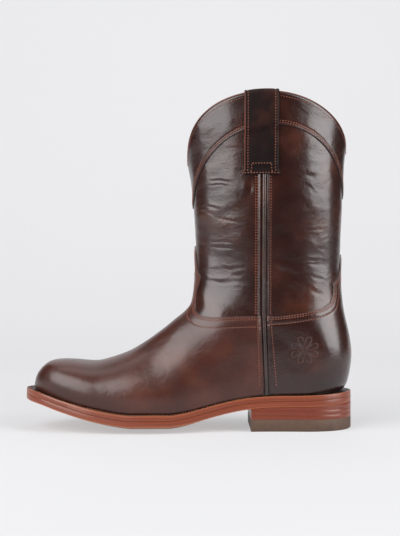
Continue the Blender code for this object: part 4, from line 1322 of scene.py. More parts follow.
def make_strap(name, side, finishes, stitching):
    """Loop a pull strap over the collar, with folded edges and rows of stitches."""
    grid, share = strap_outline(side)
    wide, long = grid.shape[:2]
    index = np.arange(wide * long).reshape(wide, long)
    if side == MEDIAL:
        index = index[::-1]
    place = grid.reshape(-1, 3)
    normal = point_normals(place, index)
    if normal[index[wide // 2, 5]][1] * side < 0:
        normal = -normal
        index = index[::-1]
    edge = (0.5 - abs(share)) * STRAP_WIDTH
    fold = STRAP_FOLD * bell(edge - STRAP_FOLD_AT, STRAP_FOLD_WIDTH)
    fold -= STITCH_SINK * bell(edge - STRAP_ROW, GROOVE_WIDTH)
    fold -= STRAP_ROUND * bell(edge, STRAP_ROUND)
    down = np.broadcast_to(np.arange(long)[None, :], (wide, long))
    foot = 0.35 * MM * bell(down - 7.0, 1.4) - STITCH_SINK * bell(down - 4.5, 1.2)
    height = (STRAP_THICKNESS + np.broadcast_to(fold, (wide, long)) + foot).reshape(-1)
    outer = place + normal * height[:, None]
    faces = grid_faces(index)
    count = len(place)
    under = [tuple(count + corner for corner in reversed(face)) for face in faces]
    ring = index[0].tolist() + index[1:, -1].tolist()
    ring += index[-1, -2::-1].tolist() + index[-2:0:-1, 0].tolist()
    rims = [(b, a, count + a, count + b) for a, b in zip(ring, ring[1:] + ring[:1])]
    edge_share = abs(share[:, 0])[:, None] + 0 * down
    finish_grid = np.where(edge_share[:-1, :-1] > 0.5 - CUT_SHOWS / STRAP_WIDTH, 1, 0)
    if index[0, 0] != 0:
        finish_grid = finish_grid[::-1]
    finish_of = finish_grid.reshape(-1).tolist() + [0] * len(under) + [1] * len(rims)
    points = np.concatenate([outer, place])
    made = make_object(name, points, faces + under + rims, finishes, finish_of, angle=60)
    face_outwards(made)
    top = outer.reshape(wide, long, 3)
    out = normal.reshape(wide, long, 3)
    half = STRAP_WIDTH / 2 - STRAP_ROW
    for aside in (-half, half):
        at = int(round((aside / STRAP_WIDTH + 0.5) * (wide - 1)))
        stitching.row(paired(top[at, 2:66], out[at, 2:66]))
    middle, box, foot, head = wide // 2, wide // 4 + 1, 1, 8
    across = slice(1, wide - 1)
    stitching.row(paired(top[across, foot], out[across, foot]))
    across = slice(middle - box, middle + box + 1)
    stitching.row(paired(top[across, head], out[across, head]))
    for at in (middle - box, middle + box):
        down = slice(foot, head + 1)
        stitching.row(paired(top[at, down], out[at, down]))
    return made


def plan_points(run, side, reach):
    """Give points beside the feather line, from the toe (0) to the heel (1)."""

    def on_line(at):
        """Give the feather line's points in plan, going on round past its ends."""
        x = along(end_spaced(at))
        turned = np.where((at < 0) | (at > 1), -side, side)
        return np.stack([x, turned * feather_half(x, turned)], axis=-1)

    small = 1e-3
    direction = on_line(run + small) - on_line(run - small)
    direction /= np.linalg.norm(direction, axis=-1, keepdims=True)
    outward = np.stack([direction[..., 1], -direction[..., 0]], axis=-1) * -side
    return on_line(run) + outward * np.asarray(reach)[..., None]


def sole_reach(run):
    """Give how far the sole stands out beyond the feather line."""
    return sum(SOLE_MIX[name](run) * reach for name, reach in REACHES.items())


def run_at(x, side):
    """Find how far along the sole's edge X lies."""
    low, high = 0.0, 1.0
    for _ in range(40):
        middle = (low + high) / 2
        here = plan_points(np.array([middle]), side, sole_reach(np.array([middle])))[0, 0]
        low, high = (middle, high) if here < x else (low, middle)
    return (low + high) / 2


def plan_rows(runs, change, across):
    """Give rows of plan points across the sole; change moves the edge in or out."""
    left = plan_points(runs[0], LATERAL, sole_reach(runs[0]) + change)
    right = plan_points(runs[1], MEDIAL, sole_reach(runs[1]) + change)
    share = across[None, :, None]
    return left[:, None] * (1 - share) + right[:, None] * share


def rim(rows):
    """Give a grid of rows' edge once round, starting at the toe."""
    return np.concatenate([rows[:, 0], rows[-1, 1:], rows[:-1, -1][::-1], rows[0, -2:0:-1]])


def lift(rows, height):
    """Raise plan points to a height that is a function of their place."""
    return np.concatenate([rows, height(rows[..., 0], rows[..., 1])[..., None]], axis=-1)


class Stack:
    """Faces of a piece of the sole: flat grids and bands round its edge, with UVs."""

    def __init__(self):
        self.points, self.faces, self.uvs, self.finish_of = [], [], [], []

    def add(self, corners, uvs, finish=0):
        """Add one face."""
        self.finish_of.append(finish)
        self.faces.append(tuple(range(len(self.points), len(self.points) + len(corners))))
        self.points.extend(corners)
        self.uvs.extend(uvs)

    def cap(self, grid, finish=0):
        """Add a grid of faces, with its plan as the UVs."""
        for near, far in zip(grid, grid[1:]):
            for c in range(len(near) - 1):
                corners = [near[c], far[c], far[c + 1], near[c + 1]]
                self.add(corners, [(corner[0], corner[1]) for corner in corners], finish)

    def edge(self, loops, levels, second_from=None):
        """Join loops round the piece; levels give each loop's height for the UVs.

        The bands from second_from on take the piece's second finish.
        """
        closed = [np.concatenate([loop, loop[:1]]) for loop in loops]
        step = np.linalg.norm(np.diff(closed[0][:, :2], axis=0), axis=1)
        run = np.concatenate([[0.0], np.cumsum(step)])
        for k in range(len(closed) - 1):
            low, high = closed[k], closed[k + 1]
            second = int(second_from is not None and k >= second_from)
            for i in range(len(low) - 1):
                uvs = [(run[i], levels[k]), (run[i + 1], levels[k])]
                uvs += [(run[i + 1], levels[k + 1]), (run[i], levels[k + 1])]
                self.add([low[i], low[i + 1], high[i + 1], high[i]], uvs, second)

    def make(self, name, finishes, angle=30):
        """Make the piece from its faces."""
        made = make_object(name, self.points, self.faces, finishes, self.finish_of, self.uvs, angle)
        face_outwards(made)
        return made


def even_runs():
    """Space the whole sole's edge, closest at toe and heel."""
    runs = np.linspace(0.0, 1.0, SOLE_RUNS + 1)
    return runs, runs


def heel_runs(count=70):
    """Space the heel's edge from its breast to its back."""
    share = np.sin(np.linspace(0, math.pi / 2, count))
    starts = (run_at(HEEL_BREAST, LATERAL), run_at(HEEL_BREAST, MEDIAL))
    return tuple(start + (1 - start) * share for start in starts)


ACROSS = np.linspace(0.0, 1.0, 19)
SEAM_GROOVE = 0.25 * MM  # the fine line between outsole and welt
LIFT_LAP = 0.2 * MM  # how far a lift reaches into the one below, so that no light shows
EdgeStep = namedtuple("EdgeStep", "change height")


def slab(name, runs, steps, bottom, thickness, finishes):
    """Make a slab with a shaped edge; steps give its edge's change and height upwards."""
    stack = Stack()
    plans = [plan_rows(runs, step.change, ACROSS) for step in steps]

    def level(plan, step):
        """Raise a plan to one of the edge's heights."""
        return lift(plan, lambda x, y: bottom(x, y) + step.height * thickness(x, y))

    grids = [level(plan, step) for plan, step in zip(plans, steps)]
    stack.cap(grids[0], len(finishes) - 1)
    stack.cap(grids[-1], len(finishes) - 1)
    deep = float(np.mean(thickness(grids[0][..., 0], grids[0][..., 1])))
    stack.edge([rim(grid) for grid in grids], [step.height * deep for step in steps])
    return stack.make(name, finishes)


def make_outsole(finishes):
    """Make the leather outsole, its lower edge rounded by the trimmer."""
    steps = [
        EdgeStep(-1.1 * MM, 0.0),
        EdgeStep(-0.45 * MM, 0.03),
        EdgeStep(-0.1 * MM, 0.10),
        EdgeStep(0.0, 0.20),
        EdgeStep(0.0, 0.90),
        EdgeStep(-0.15 * MM, 1.0),
    ]
    runs = even_runs()
    return slab("outsole_leather", runs, steps, sole_height, lambda x, y: OUTSOLE + 0 * x, finishes)


def make_welt(finishes):
    """Make the welt, flush with the sole's edge, as a ring with a rounded upper edge."""

    def height(share):
        """Give the height at a share of the welt's thickness as a function of place."""
        low, tall = OUTSOLE + SEAM_GROOVE, WELT + SEAM_REST - SEAM_GROOVE
        return lambda x, y: sole_height(x, y) + low + share * tall

    runs = even_runs()
    outline = [
        EdgeStep(-0.25 * MM, 0.0), EdgeStep(-0.1 * MM, 0.05), EdgeStep(-0.05 * MM, 0.80),
        EdgeStep(-0.25 * MM, 0.94), EdgeStep(-0.8 * MM, 1.0), EdgeStep(-2.2 * MM, 1.0),
    ]
    ends = ACROSS[[0, -1]]
    loops = [rim(lift(plan_rows(runs, step.change, ends), height(step.height))) for step in outline]
    inside = []
    for run, side in ((runs[0], LATERAL), (runs[1], MEDIAL)):
        inside.append(plan_points(run, side, np.full_like(run, -(WALL + 2 * GAP + WELT_LEDGE))))
    inner = np.stack(inside, axis=1)
    loops += [rim(lift(inner, height(1.0))), rim(lift(inner, height(0.0))), loops[0]]
    stack = Stack()
    # the loops' heights for the UVs, on which the painted highlight bands lie
    levels = [level * MM for level in (6.0, 6.2, 9.2, 9.8, 10.4, 12.0, 20.0, 24.0, 30.0)]
    # from its top face on, the welt takes the dark finish: ink and painted shade
    stack.edge(loops, levels, second_from=4)
    return stack.make("welt_leather", finishes)


def sew_welt(stitching):
    """Sew the welt from the breast round the toe and back."""
    rows = []
    for side in (LATERAL, MEDIAL):
        runs = np.linspace(0.0, run_at(HEEL_BREAST, side), 300)
        plan = plan_points(runs, side, sole_reach(runs) - WELT_ROW)
        z = sole_height(plan[:, 0], plan[:, 1]) + OUTSOLE + SEAM_REST + WELT
        rows.append(np.concatenate([plan, z[:, None]], axis=1))
    line = np.concatenate([rows[0][::-1], rows[1][1:]])
    stitching.row(paired(line, [(0, 0, 1)] * len(line)))


def make_heel(leather, rubber):
    """Stack the heel: the rubber cap, two even lifts and the wedge under the seat."""
    runs = heel_runs()
    made = []
    square = [
        EdgeStep(-0.12 * MM, 0.0), EdgeStep(0.0, 0.05), EdgeStep(0.0, 0.95), EdgeStep(-0.12 * MM, 1.0),
    ]
    worn = [
        EdgeStep(-0.8 * MM, 0.0), EdgeStep(-0.2 * MM, 0.03), EdgeStep(0.0, 0.09),
        EdgeStep(0.0, 0.98), EdgeStep(-0.1 * MM, 1.0),
    ]
    made.append(slab(
        "rubber_cap", runs, worn, lambda x, y: 0 * x, lambda x, y: CAP_HIGH.z + 0 * x, rubber,
    ))
    for number in (1, 2):
        low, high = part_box(f"heel_lift_{number}")
        made.append(slab(
            f"leather_lift_{number}", runs, square, lambda x, y: low.z - LIFT_LAP + 0 * x,
            lambda x, y: high.z - low.z + LIFT_LAP + 0 * x, leather,
        ))
    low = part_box("heel_lift_3")[0].z - LIFT_LAP
    made.append(slab(
        "leather_wedge", runs, square, lambda x, y: low + 0 * x,
        lambda x, y: sole_height(x, y) - low - 0.1 * MM, leather,
    ))
    return made


def from_hex(text):
    """Turn an sRGB hex colour into the linear colour that shaders take."""
    parts = [int(text[i : i + 2], 16) / 255 for i in (1, 3, 5)]
    return tuple(p / 12.92 if p <= 0.04045 else ((p + 0.055) / 1.055) ** 2.4 for p in parts) + (1.0,)


def mixed(text, other, share):
    """Mix two hex colours in linear light."""
    a, b = from_hex(text), from_hex(other)
    return tuple(p + (q - p) * share for p, q in zip(a, b))


def add_node(tree, kind, settings=None, values=None, links=None):
    """Add a node with its settings, its sockets' values and its links."""
    node = tree.nodes.new(kind)
    for name, value in (settings or {}).items():
        setattr(node, name, value)
    for name, value in (values or {}).items():
        node.inputs[name].default_value = value
    for name, (source, socket) in (links or {}).items():
        tree.links.new(source.outputs[socket], node.inputs[name])
    return node


def new_material(name):
    """Give a new material's node tree, its shader and its coordinates in metres."""
    made = bpy.data.materials.new(name)
    made.use_nodes = True
    tree = made.node_tree
    return made, tree, tree.nodes["Principled BSDF"], add_node(tree, "ShaderNodeTexCoord")


def ramp_node(tree, source, socket, stops):
    """Add a colour ramp with stops of place and colour."""
    node = add_node(tree, "ShaderNodeValToRGB", links={"Fac": (source, socket)})
    ramp = node.color_ramp
    while len(ramp.elements) < len(stops):
        ramp.elements.new(0.5)
    for element, (place, colour) in zip(ramp.elements, stops):
        element.position = place
        element.color = colour
    return node


def polished_leather(name, colour, dark, roughness, spread, grain, coat, shine=0.5):
    """Full grain calf, dyed through, waxed and brushed: deep mottled brown under a soft shine.

    The dye clouds over some 34 mm. The grain's pores are 0.5 mm apart in life and are drawn
    1.1 mm apart, so that they show. Fine wrinkles lie 4 mm apart and some 11 mm long.
    """
    made, tree, shader, place = new_material(name)
    here = {"Vector": (place, "Object")}
    cloud = add_node(tree, "ShaderNodeTexNoise", links=here,
                     values={"Scale": 1 / (34 * MM), "Detail": 3.0, "Roughness": 0.55})
    deep, warm = mixed(colour, dark, 0.75), mixed(colour, "#6b3a28", 0.25)
    base = ramp_node(tree, cloud, "Fac", [(0.30, deep), (0.52, from_hex(colour)), (0.75, warm)])
    tree.links.new(base.outputs["Color"], shader.inputs["Base Color"])
    pores = add_node(tree, "ShaderNodeTexVoronoi", settings={"feature": "SMOOTH_F1"}, links=here,
                     values={"Scale": 1 / (1.1 * MM), "Smoothness": 0.6})
    fine = add_node(tree, "ShaderNodeTexNoise", links=here,
                    values={"Scale": 1 / (2.6 * MM), "Detail": 5.0, "Roughness": 0.6})
    wave = add_node(tree, "ShaderNodeTexNoise", links=here,
                    values={"Scale": 1 / (14 * MM), "Detail": 2.0, "Distortion": 0.6})
    stretch = add_node(tree, "ShaderNodeMapping", links=here,
                       values={"Scale": (1 / (11 * MM), 1 / (11 * MM), 1 / (4.2 * MM))})
    wrinkle = {"Scale": 1.0, "Detail": 4.0, "Roughness": 0.62, "Distortion": 0.8}
    fold = add_node(tree, "ShaderNodeTexNoise", values=wrinkle, links={"Vector": (stretch, "Vector")})
    first = add_node(tree, "ShaderNodeBump", values={"Strength": grain, "Distance": 0.10 * MM},
                     links={"Height": (pores, "Distance")})
    second = add_node(tree, "ShaderNodeBump", values={"Strength": grain, "Distance": 0.30 * MM},
                      links={"Height": (fine, "Fac"), "Normal": (first, "Normal")})
    third = add_node(tree, "ShaderNodeBump", values={"Strength": 0.45, "Distance": 0.9 * MM},
                     links={"Height": (wave, "Fac"), "Normal": (second, "Normal")})
    fourth = add_node(tree, "ShaderNodeBump", values={"Strength": 0.5, "Distance": 0.28 * MM},
                      links={"Height": (fold, "Fac"), "Normal": (third, "Normal")})
    tree.links.new(fourth.outputs["Normal"], shader.inputs["Normal"])
    gloss = add_node(tree, "ShaderNodeMapRange", links={"Value": (wave, "Fac")},
                     values={"To Min": roughness - spread, "To Max": roughness + spread})
    tree.links.new(gloss.outputs["Result"], shader.inputs["Roughness"])
    shader.inputs["IOR"].default_value = 1.5
    shader.inputs["Specular IOR Level"].default_value = shine
    shader.inputs["Coat Weight"].default_value = coat
    shader.inputs["Coat Roughness"].default_value = 0.16
    shader.inputs["Coat IOR"].default_value = 1.45
    return made


def waxed_thread(name, colour):
    """Waxed polyester thread, twisted: a warm brown line with a slight sheen, uneven over 3 mm."""
    made, tree, shader, place = new_material(name)
    twist = add_node(tree, "ShaderNodeTexNoise", values={"Scale": 1 / (3 * MM), "Detail": 2.0},
                     links={"Vector": (place, "Object")})
    worn = mixed(colour, "#3a1a11", 0.45)
    tone = ramp_node(tree, twist, "Fac", [(0.3, worn), (0.7, from_hex(colour))])
    tree.links.new(tone.outputs["Color"], shader.inputs["Base Color"])
    shader.inputs["Roughness"].default_value = 0.5
    return made


def burnished_edge(name, colour, line, dark, height, painted_highlights, roughness=0.36):
    """Leather cut across, dyed and burnished with hot wax: streaky layers with a warm gloss.

    The streaks run along the edge: fibres 0.1 mm thick, drawn 0.8 mm thick so that they show.
    The edge is painted paler, towards the line colour, in bands at heights given as shares of the height in
    metres: painted highlights along its rounded edges.
    """
    made, tree, shader, place = new_material(name)
    stretch = add_node(tree, "ShaderNodeMapping", links={"Vector": (place, "UV")},
                       values={"Scale": (1 / (70 * MM), 1 / (0.8 * MM), 1.0)})
    streak = add_node(tree, "ShaderNodeTexNoise", links={"Vector": (stretch, "Vector")},
                      values={"Scale": 1.0, "Detail": 4.0, "Roughness": 0.65})
    deep, pale = mixed(colour, dark, 0.6), mixed(colour, line, 0.35)
    base = ramp_node(tree, streak, "Fac", [(0.25, deep), (0.5, from_hex(colour)), (0.8, pale)])
    split = add_node(tree, "ShaderNodeSeparateXYZ", links={"Vector": (place, "UV")})
    level = add_node(tree, "ShaderNodeMapRange", links={"Value": (split, "Y")},
                     values={"From Min": 0.0, "From Max": height})
    # painted highlights: pale bands in the line colour, laid at set heights along the edge's roundings
    stops = [(up, (share, share, share, 1.0)) for up, share in painted_highlights]
    highlight_mask = ramp_node(tree, level, "Result", stops)
    tone = add_node(tree, "ShaderNodeMix", settings={"data_type": "RGBA"})
    tree.links.new(highlight_mask.outputs["Color"], tone.inputs[0])
    tree.links.new(base.outputs["Color"], tone.inputs[6])
    tone.inputs[7].default_value = from_hex(line)
    tree.links.new(tone.outputs[2], shader.inputs["Base Color"])
    bump = add_node(tree, "ShaderNodeBump", values={"Strength": 0.3, "Distance": 0.12 * MM},
                    links={"Height": (streak, "Fac")})
    tree.links.new(bump.outputs["Normal"], shader.inputs["Normal"])
    shader.inputs["Roughness"].default_value = roughness
    shader.inputs["Coat Weight"].default_value = 0.1
    shader.inputs["Coat Roughness"].default_value = 0.3
    return made


def plain_leather(name, colour, dark, roughness, grain):
    """Vegetable tanned leather, undyed or bare: matt, with a 1 mm fibre and stains of some 22 mm."""
    made, tree, shader, place = new_material(name)
    here = {"Vector": (place, "Object")}
    cloud = add_node(tree, "ShaderNodeTexNoise", values={"Scale": 1 / (22 * MM), "Detail": 5.0}, links=here)
    tone = ramp_node(tree, cloud, "Fac", [(0.3, from_hex(dark)), (0.65, from_hex(colour))])
    tree.links.new(tone.outputs["Color"], shader.inputs["Base Color"])
    pores = add_node(tree, "ShaderNodeTexNoise", values={"Scale": 1 / (1.0 * MM), "Detail": 3.0}, links=here)
    bump = add_node(tree, "ShaderNodeBump", values={"Strength": grain, "Distance": 0.2 * MM},
                    links={"Height": (pores, "Fac")})
    tree.links.new(bump.outputs["Normal"], shader.inputs["Normal"])
    shader.inputs["Roughness"].default_value = roughness
    return made


def moulded_rubber(name, colour):
    """Moulded heel rubber: matt olive brown with a dusty bloom in patches of some 6 mm."""
    made, tree, shader, place = new_material(name)
    dust = add_node(tree, "ShaderNodeTexNoise", links={"Vector": (place, "Object")},
                    values={"Scale": 1 / (6 * MM), "Detail": 6.0, "Roughness": 0.7})
    clean = mixed(colour, "#2c2119", 0.5)
    tone = ramp_node(tree, dust, "Fac", [(0.3, clean), (0.7, from_hex(colour))])
    tree.links.new(tone.outputs["Color"], shader.inputs["Base Color"])
    bump = add_node(tree, "ShaderNodeBump", values={"Strength": 0.4, "Distance": 0.2 * MM},
                    links={"Height": (dust, "Fac")})
    tree.links.new(bump.outputs["Normal"], shader.inputs["Normal"])
    shader.inputs["Roughness"].default_value = 0.62
    return made


def finishes():
    """Make the boot's materials once and hand them out by name."""
    colours = bpy.context.scene.boot_colours
    if "calf_polished" not in bpy.data.materials:
        polished_leather("calf_polished", colours.shaft, "#1a0907", 0.26, 0.05, 0.40, 0.4)
        # the vamp's lighter colour is painted light: the soft light that the foot catches from above
        polished_leather("calf_vamp_polished", colours.vamp, "#2b140e", 0.34, 0.06, 0.40, 0.10)
        polished_leather("calf_strap_dark", colours.strap, "#0f0808", 0.5, 0.05, 0.5, 0.0, 0.12)
        polished_leather("calf_piping_dark", "#2b1d1a", "#160d0b", 0.26, 0.03, 0.25, 0.5)
        polished_leather("calf_cut_edge", "#5a2e20", "#351910", 0.48, 0.05, 0.5, 0.0)
        waxed_thread("polyester_thread_waxed", colours.thread)
        # painted highlights along each edge's rounded corners: share of its height, and how far it is
        # painted towards the pale line colour
        lower = [(0.0, 0.75), (0.10, 0.6), (0.18, 0.1), (0.3, 0.0)]
        upper = [(0.70, 0.0), (0.80, 0.15), (0.86, 0.5), (0.92, 0.1)]
        plain = [(0.0, 0.25), (0.10, 0.0), (0.9, 0.0), (1.0, 0.25)]
        burnished_edge("sole_leather_burnished", colours.edge, "#bd6838", "#5f2717", OUTSOLE, lower)
        burnished_edge("welt_leather_burnished", colours.edge, "#b87552", "#5f2717", WELT_EDGE, upper)
        burnished_edge("stack_leather_burnished", colours.stack, "#9a4a2a", "#551f12", LIFT_EDGE, plain)
        plain_leather("sole_leather_buffed", "#a56a42", "#8a5230", 0.5, 0.3)
        # the welt's top and inner faces: partly dark ink, partly painted shade for the shadow between the
        # welt and the upper
        plain_leather("welt_leather_inked", "#2a1610", "#150b08", 0.5, 0.4)
        plain_leather("lining_leather_vegetable", colours.lining, "#8a5c39", 0.6, 0.4)
        moulded_rubber("heel_rubber_moulded", colours.rubber)
    return bpy.data.materials


WELT_EDGE = 12.0 * MM  # the height that the welt's and the lifts' painted highlight bands are laid over
LIFT_EDGE = 8.0 * MM
SHARED = {}  # the skin and the stitches, which several operators use


def skin_now():
    """Give the upper's skin, laid out once for all the operators."""
    if "skin" not in SHARED:
        SHARED["skin"] = make_skin(bpy.context.scene.boot_sizes)
        SHARED["stitches"] = Stitching(bpy.context.scene.boot_sizes)
    return SHARED["skin"], SHARED["stitches"]


class BOOT_OT_upper(bpy.types.Operator):
    """Build the boot's body with its lining and the collar's bead"""

    bl_idname = "boot.upper"
    bl_label = "Shaft and lining"

    def execute(self, context):
        skin = skin_now()[0]
        stock = finishes()
        body = make_upper(skin, [stock["calf_polished"], stock["lining_leather_vegetable"]])
        fit(body, "upper_leather", "upper")
        bead = make_bead(stock["calf_cut_edge"])
        fit(bead, "binding_leather", "collar_binding")
        return {"FINISHED"}


class BOOT_OT_panels(bpy.types.Operator):
    """Lay the vamp, the counter and the collar band over the shaft and sew them"""

    bl_idname = "boot.panels"
    bl_label = "Vamp, counter and collar band"

    def execute(self, context):
        skin, stitching = skin_now()
        stock = finishes()
        sizes = context.scene.boot_sizes
        finish = [stock["calf_vamp_polished"]]
        rows = (EDGE_ROW, SECOND_ROW, VAMP_LOWER_ROW)
        inside = vamp_inside(skin)
        vamp = make_panel("vamp_calf", skin, inside, sizes, finish, rows, above_foot, stitching)
        fit(vamp, "vamp_leather", "vamp")
        finish = [stock["calf_polished"]]
        rows = (EDGE_ROW, SECOND_ROW, LOWER_ROW)
        inside = counter_inside(skin)
        counter = make_panel("counter_calf", skin, inside, sizes, finish, rows, above_foot, stitching)
        fit(counter, "upper_leather", "counter")
        # the tooled lines are made in the vamp's lighter leather: a painted highlight that makes them stand
        # out on the counter
        fit(make_rosette(sizes, stock["calf_vamp_polished"]), "upper_leather")
        rows = (EDGE_ROW, SECOND_ROW)
        inside = band_inside(skin)
        band = make_panel("collar_band_calf", skin, inside, sizes, finish, rows, below_collar, stitching)
        fit(band, "upper_leather", "collar_band")
        return {"FINISHED"}


def above_foot(place):
    """Tell whether an edge of the vamp or the counter is its upper one, clear of the seam."""
    foot = SEAT + TOPLINE - TOPLINE_SAG - MM
    return place.z > foot and abs(place.x - seam_x(place.z)) > PIPING_WIDTH / 2 + MM


def below_collar(place):
    """Tell whether an edge of the collar band is its lower one."""
    turn = turn_at(np.clip(place.x, UPPER.top_x(UPPER.collar_at), UPPER.end(UPPER.collar_at)[0]))
    top = float(UPPER.side(UPPER.collar_at, turn)[2])
    low = float(band_height(turn))
    return abs(place.z - low) < abs(place.z - top)


class BOOT_OT_seams(bpy.types.Operator):
    """Run the piping and its rows of stitches up both side seams and round the collar"""

    bl_idname = "boot.seams"
    bl_label = "Side seams"

    def execute(self, context):
        stitching = skin_now()[1]
        stock = finishes()
        sizes = context.scene.boot_sizes
        for word, side in (("lateral", LATERAL), ("medial", MEDIAL)):
            piping = make_piping("piping_" + word, side, stock["calf_piping_dark"])
            fit(piping, "strap_leather", "side_piping_" + word)
            sew_seam(side, sizes, stitching)
        sew_collar(stitching)
        return {"FINISHED"}


def sew_seam(side, sizes, stitching):
    """Sew the rows beside the piping: one behind it and two before it."""
    strap_end = SEAT + SHAFT_HEIGHT - STRAP_DROP
    foot = SEAT + TOPLINE
    low_end = SEAT + 5 * MM
    rows = (
        (-SEAM_ROW, 0.0, foot, strap_end),
        (SEAM_ROW, 0.0, foot, strap_end),
        (-OUTER_SEAM_ROW, 0.0, foot, strap_end),
        (-SEAM_ROW, 0.0, low_end, foot - 3 * MM),
        (SEAM_ROW, SEAM_ROW_SPREAD, low_end, foot - 3 * MM),
    )
    for aside, spread, low, high in rows:
        z = np.linspace(high - 1 * MM, low + 1 * MM, STITCH_SAMPLES)
        x = seam_x(z) + aside + spread * np.linspace(0, 1, STITCH_SAMPLES)
        place = UPPER.at_place(x, z, side)
        onward = UPPER.at_place(x + MM, z, side) - UPPER.at_place(x - MM, z, side)
        normal = np.cross(onward, [0.0, 0.0, 1.0])
        normal *= np.sign(normal[:, 1:2]) * side
        normal /= np.linalg.norm(normal, axis=1, keepdims=True)
        over = PANEL + GAP if high < foot else 0.0
        raised = skin_relief(place, sizes) + over
        place = place + normal * raised[:, None]
        stitching.row(paired(place, normal))


def sew_collar(stitching):
    """Sew the row under the collar's bead."""
    count = COLLAR_SAMPLES
    share = np.arange(count + 1) / count
    turn = 1 - abs(1 - 2 * share)
    side = np.where(share < 0.5, MEDIAL, LATERAL)
    at = np.full(count + 1, UPPER.collar_at)
    edge = UPPER.point(at, turn, side)
    lower = UPPER.point(at - 3 * MM, turn, side)
    down = lower - edge
    down /= np.linalg.norm(down, axis=1, keepdims=True)
    run = np.gradient(edge, axis=0)
    normal = np.cross(run, down)
    normal *= np.sign(np.sum(normal * (edge - edge.mean(axis=0)), axis=1, keepdims=True))
    normal /= np.linalg.norm(normal, axis=1, keepdims=True)
    place = edge + down * COLLAR_ROW + normal * (GAP + PANEL)
    stitching.row(paired(place, normal))


class BOOT_OT_straps(bpy.types.Operator):
    """Loop the pull straps over the collar"""

    bl_idname = "boot.straps"
    bl_label = "Pull straps"

    def execute(self, context):
        stitching = skin_now()[1]
        stock = finishes()
        finish = [stock["calf_strap_dark"], stock["calf_cut_edge"]]
        for word, side in (("lateral", LATERAL), ("medial", MEDIAL)):
            strap = make_strap("strap_" + word, side, finish, stitching)
            fit(strap, "strap_leather", "pull_strap_" + word)
        return {"FINISHED"}


class BOOT_OT_sole(bpy.types.Operator):
    """Build the outsole and the welt, and finish the insole"""

    bl_idname = "boot.sole"
    bl_label = "Sole and welt"

    def execute(self, context):
        stock = finishes()
        finish = [stock["sole_leather_burnished"], stock["sole_leather_buffed"]]
        fit(make_outsole(finish), "sole_leather", "outsole")
        finish = [stock["welt_leather_burnished"], stock["welt_leather_inked"]]
        fit(make_welt(finish), "sole_leather", "welt")
        sew_welt(skin_now()[1])
        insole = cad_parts["insole"]
        insole.data.materials.clear()
        insole.data.materials.append(stock["lining_leather_vegetable"])
        return {"FINISHED"}


class BOOT_OT_heel(bpy.types.Operator):
    """Stack the heel's leather lifts on its rubber cap"""

    bl_idname = "boot.heel"
    bl_label = "Heel"

    def execute(self, context):
        stock = finishes()
        pieces = make_heel([stock["stack_leather_burnished"]], [stock["heel_rubber_moulded"]])
        nodes = ("heel_cap", "heel_lift_1", "heel_lift_2", "heel_lift_3")
        for piece, node in zip(pieces, nodes):
            fit(piece, "heel_rubber" if node == "heel_cap" else "stack_leather", node)
        return {"FINISHED"}


class BOOT_OT_stitching(bpy.types.Operator):
    """Join all the stitches into one piece"""

    bl_idname = "boot.stitching"
    bl_label = "Stitching"

    def execute(self, context):
        skin_now()[1].make("stitching", finishes()["polyester_thread_waxed"], "upper_leather")
        return {"FINISHED"}


# Soft boxes round the boot: degrees from the camera's side, metres and watts
LIT_POINT = (0.03, 0.0, 0.16)
TOP_BOX_AT = (0.0, 0.5, 1.7)
TOP_BOX_WIDE = 1.6
TOP_BOX_DEEP = 0.6
TOP_BOX_POWER = 5.0
AIR_DIM = 0.04  # how much of the pale surroundings the leather mirrors
SoftBox = namedtuple("SoftBox", "name azimuth distance height width tall power")
SOFT_BOXES = [
    SoftBox("left_box", -50.0, 1.5, 1.05, 1.9, 2.3, 68.0),
    SoftBox("right_box", 65.0, 1.5, 1.0, 1.2, 2.0, 46.0),
]


# The stage, in metres
FLOOR_FRONT = 3.0
FLOOR_WIDTH = 6.0
WALL_AT = 1.6
WALL_WIDTH = 1.8
WALL_TOP = 3.2
SWEEP_RADIUS = 0.9
SWEEP_STEPS = 16
FLOOR_PALE = 0.44  # how far ahead of the boot the leather mirrors a pale floor, and none
FLOOR_DARK = 0.60
DIM = 0.03  # what it mirrors beyond that


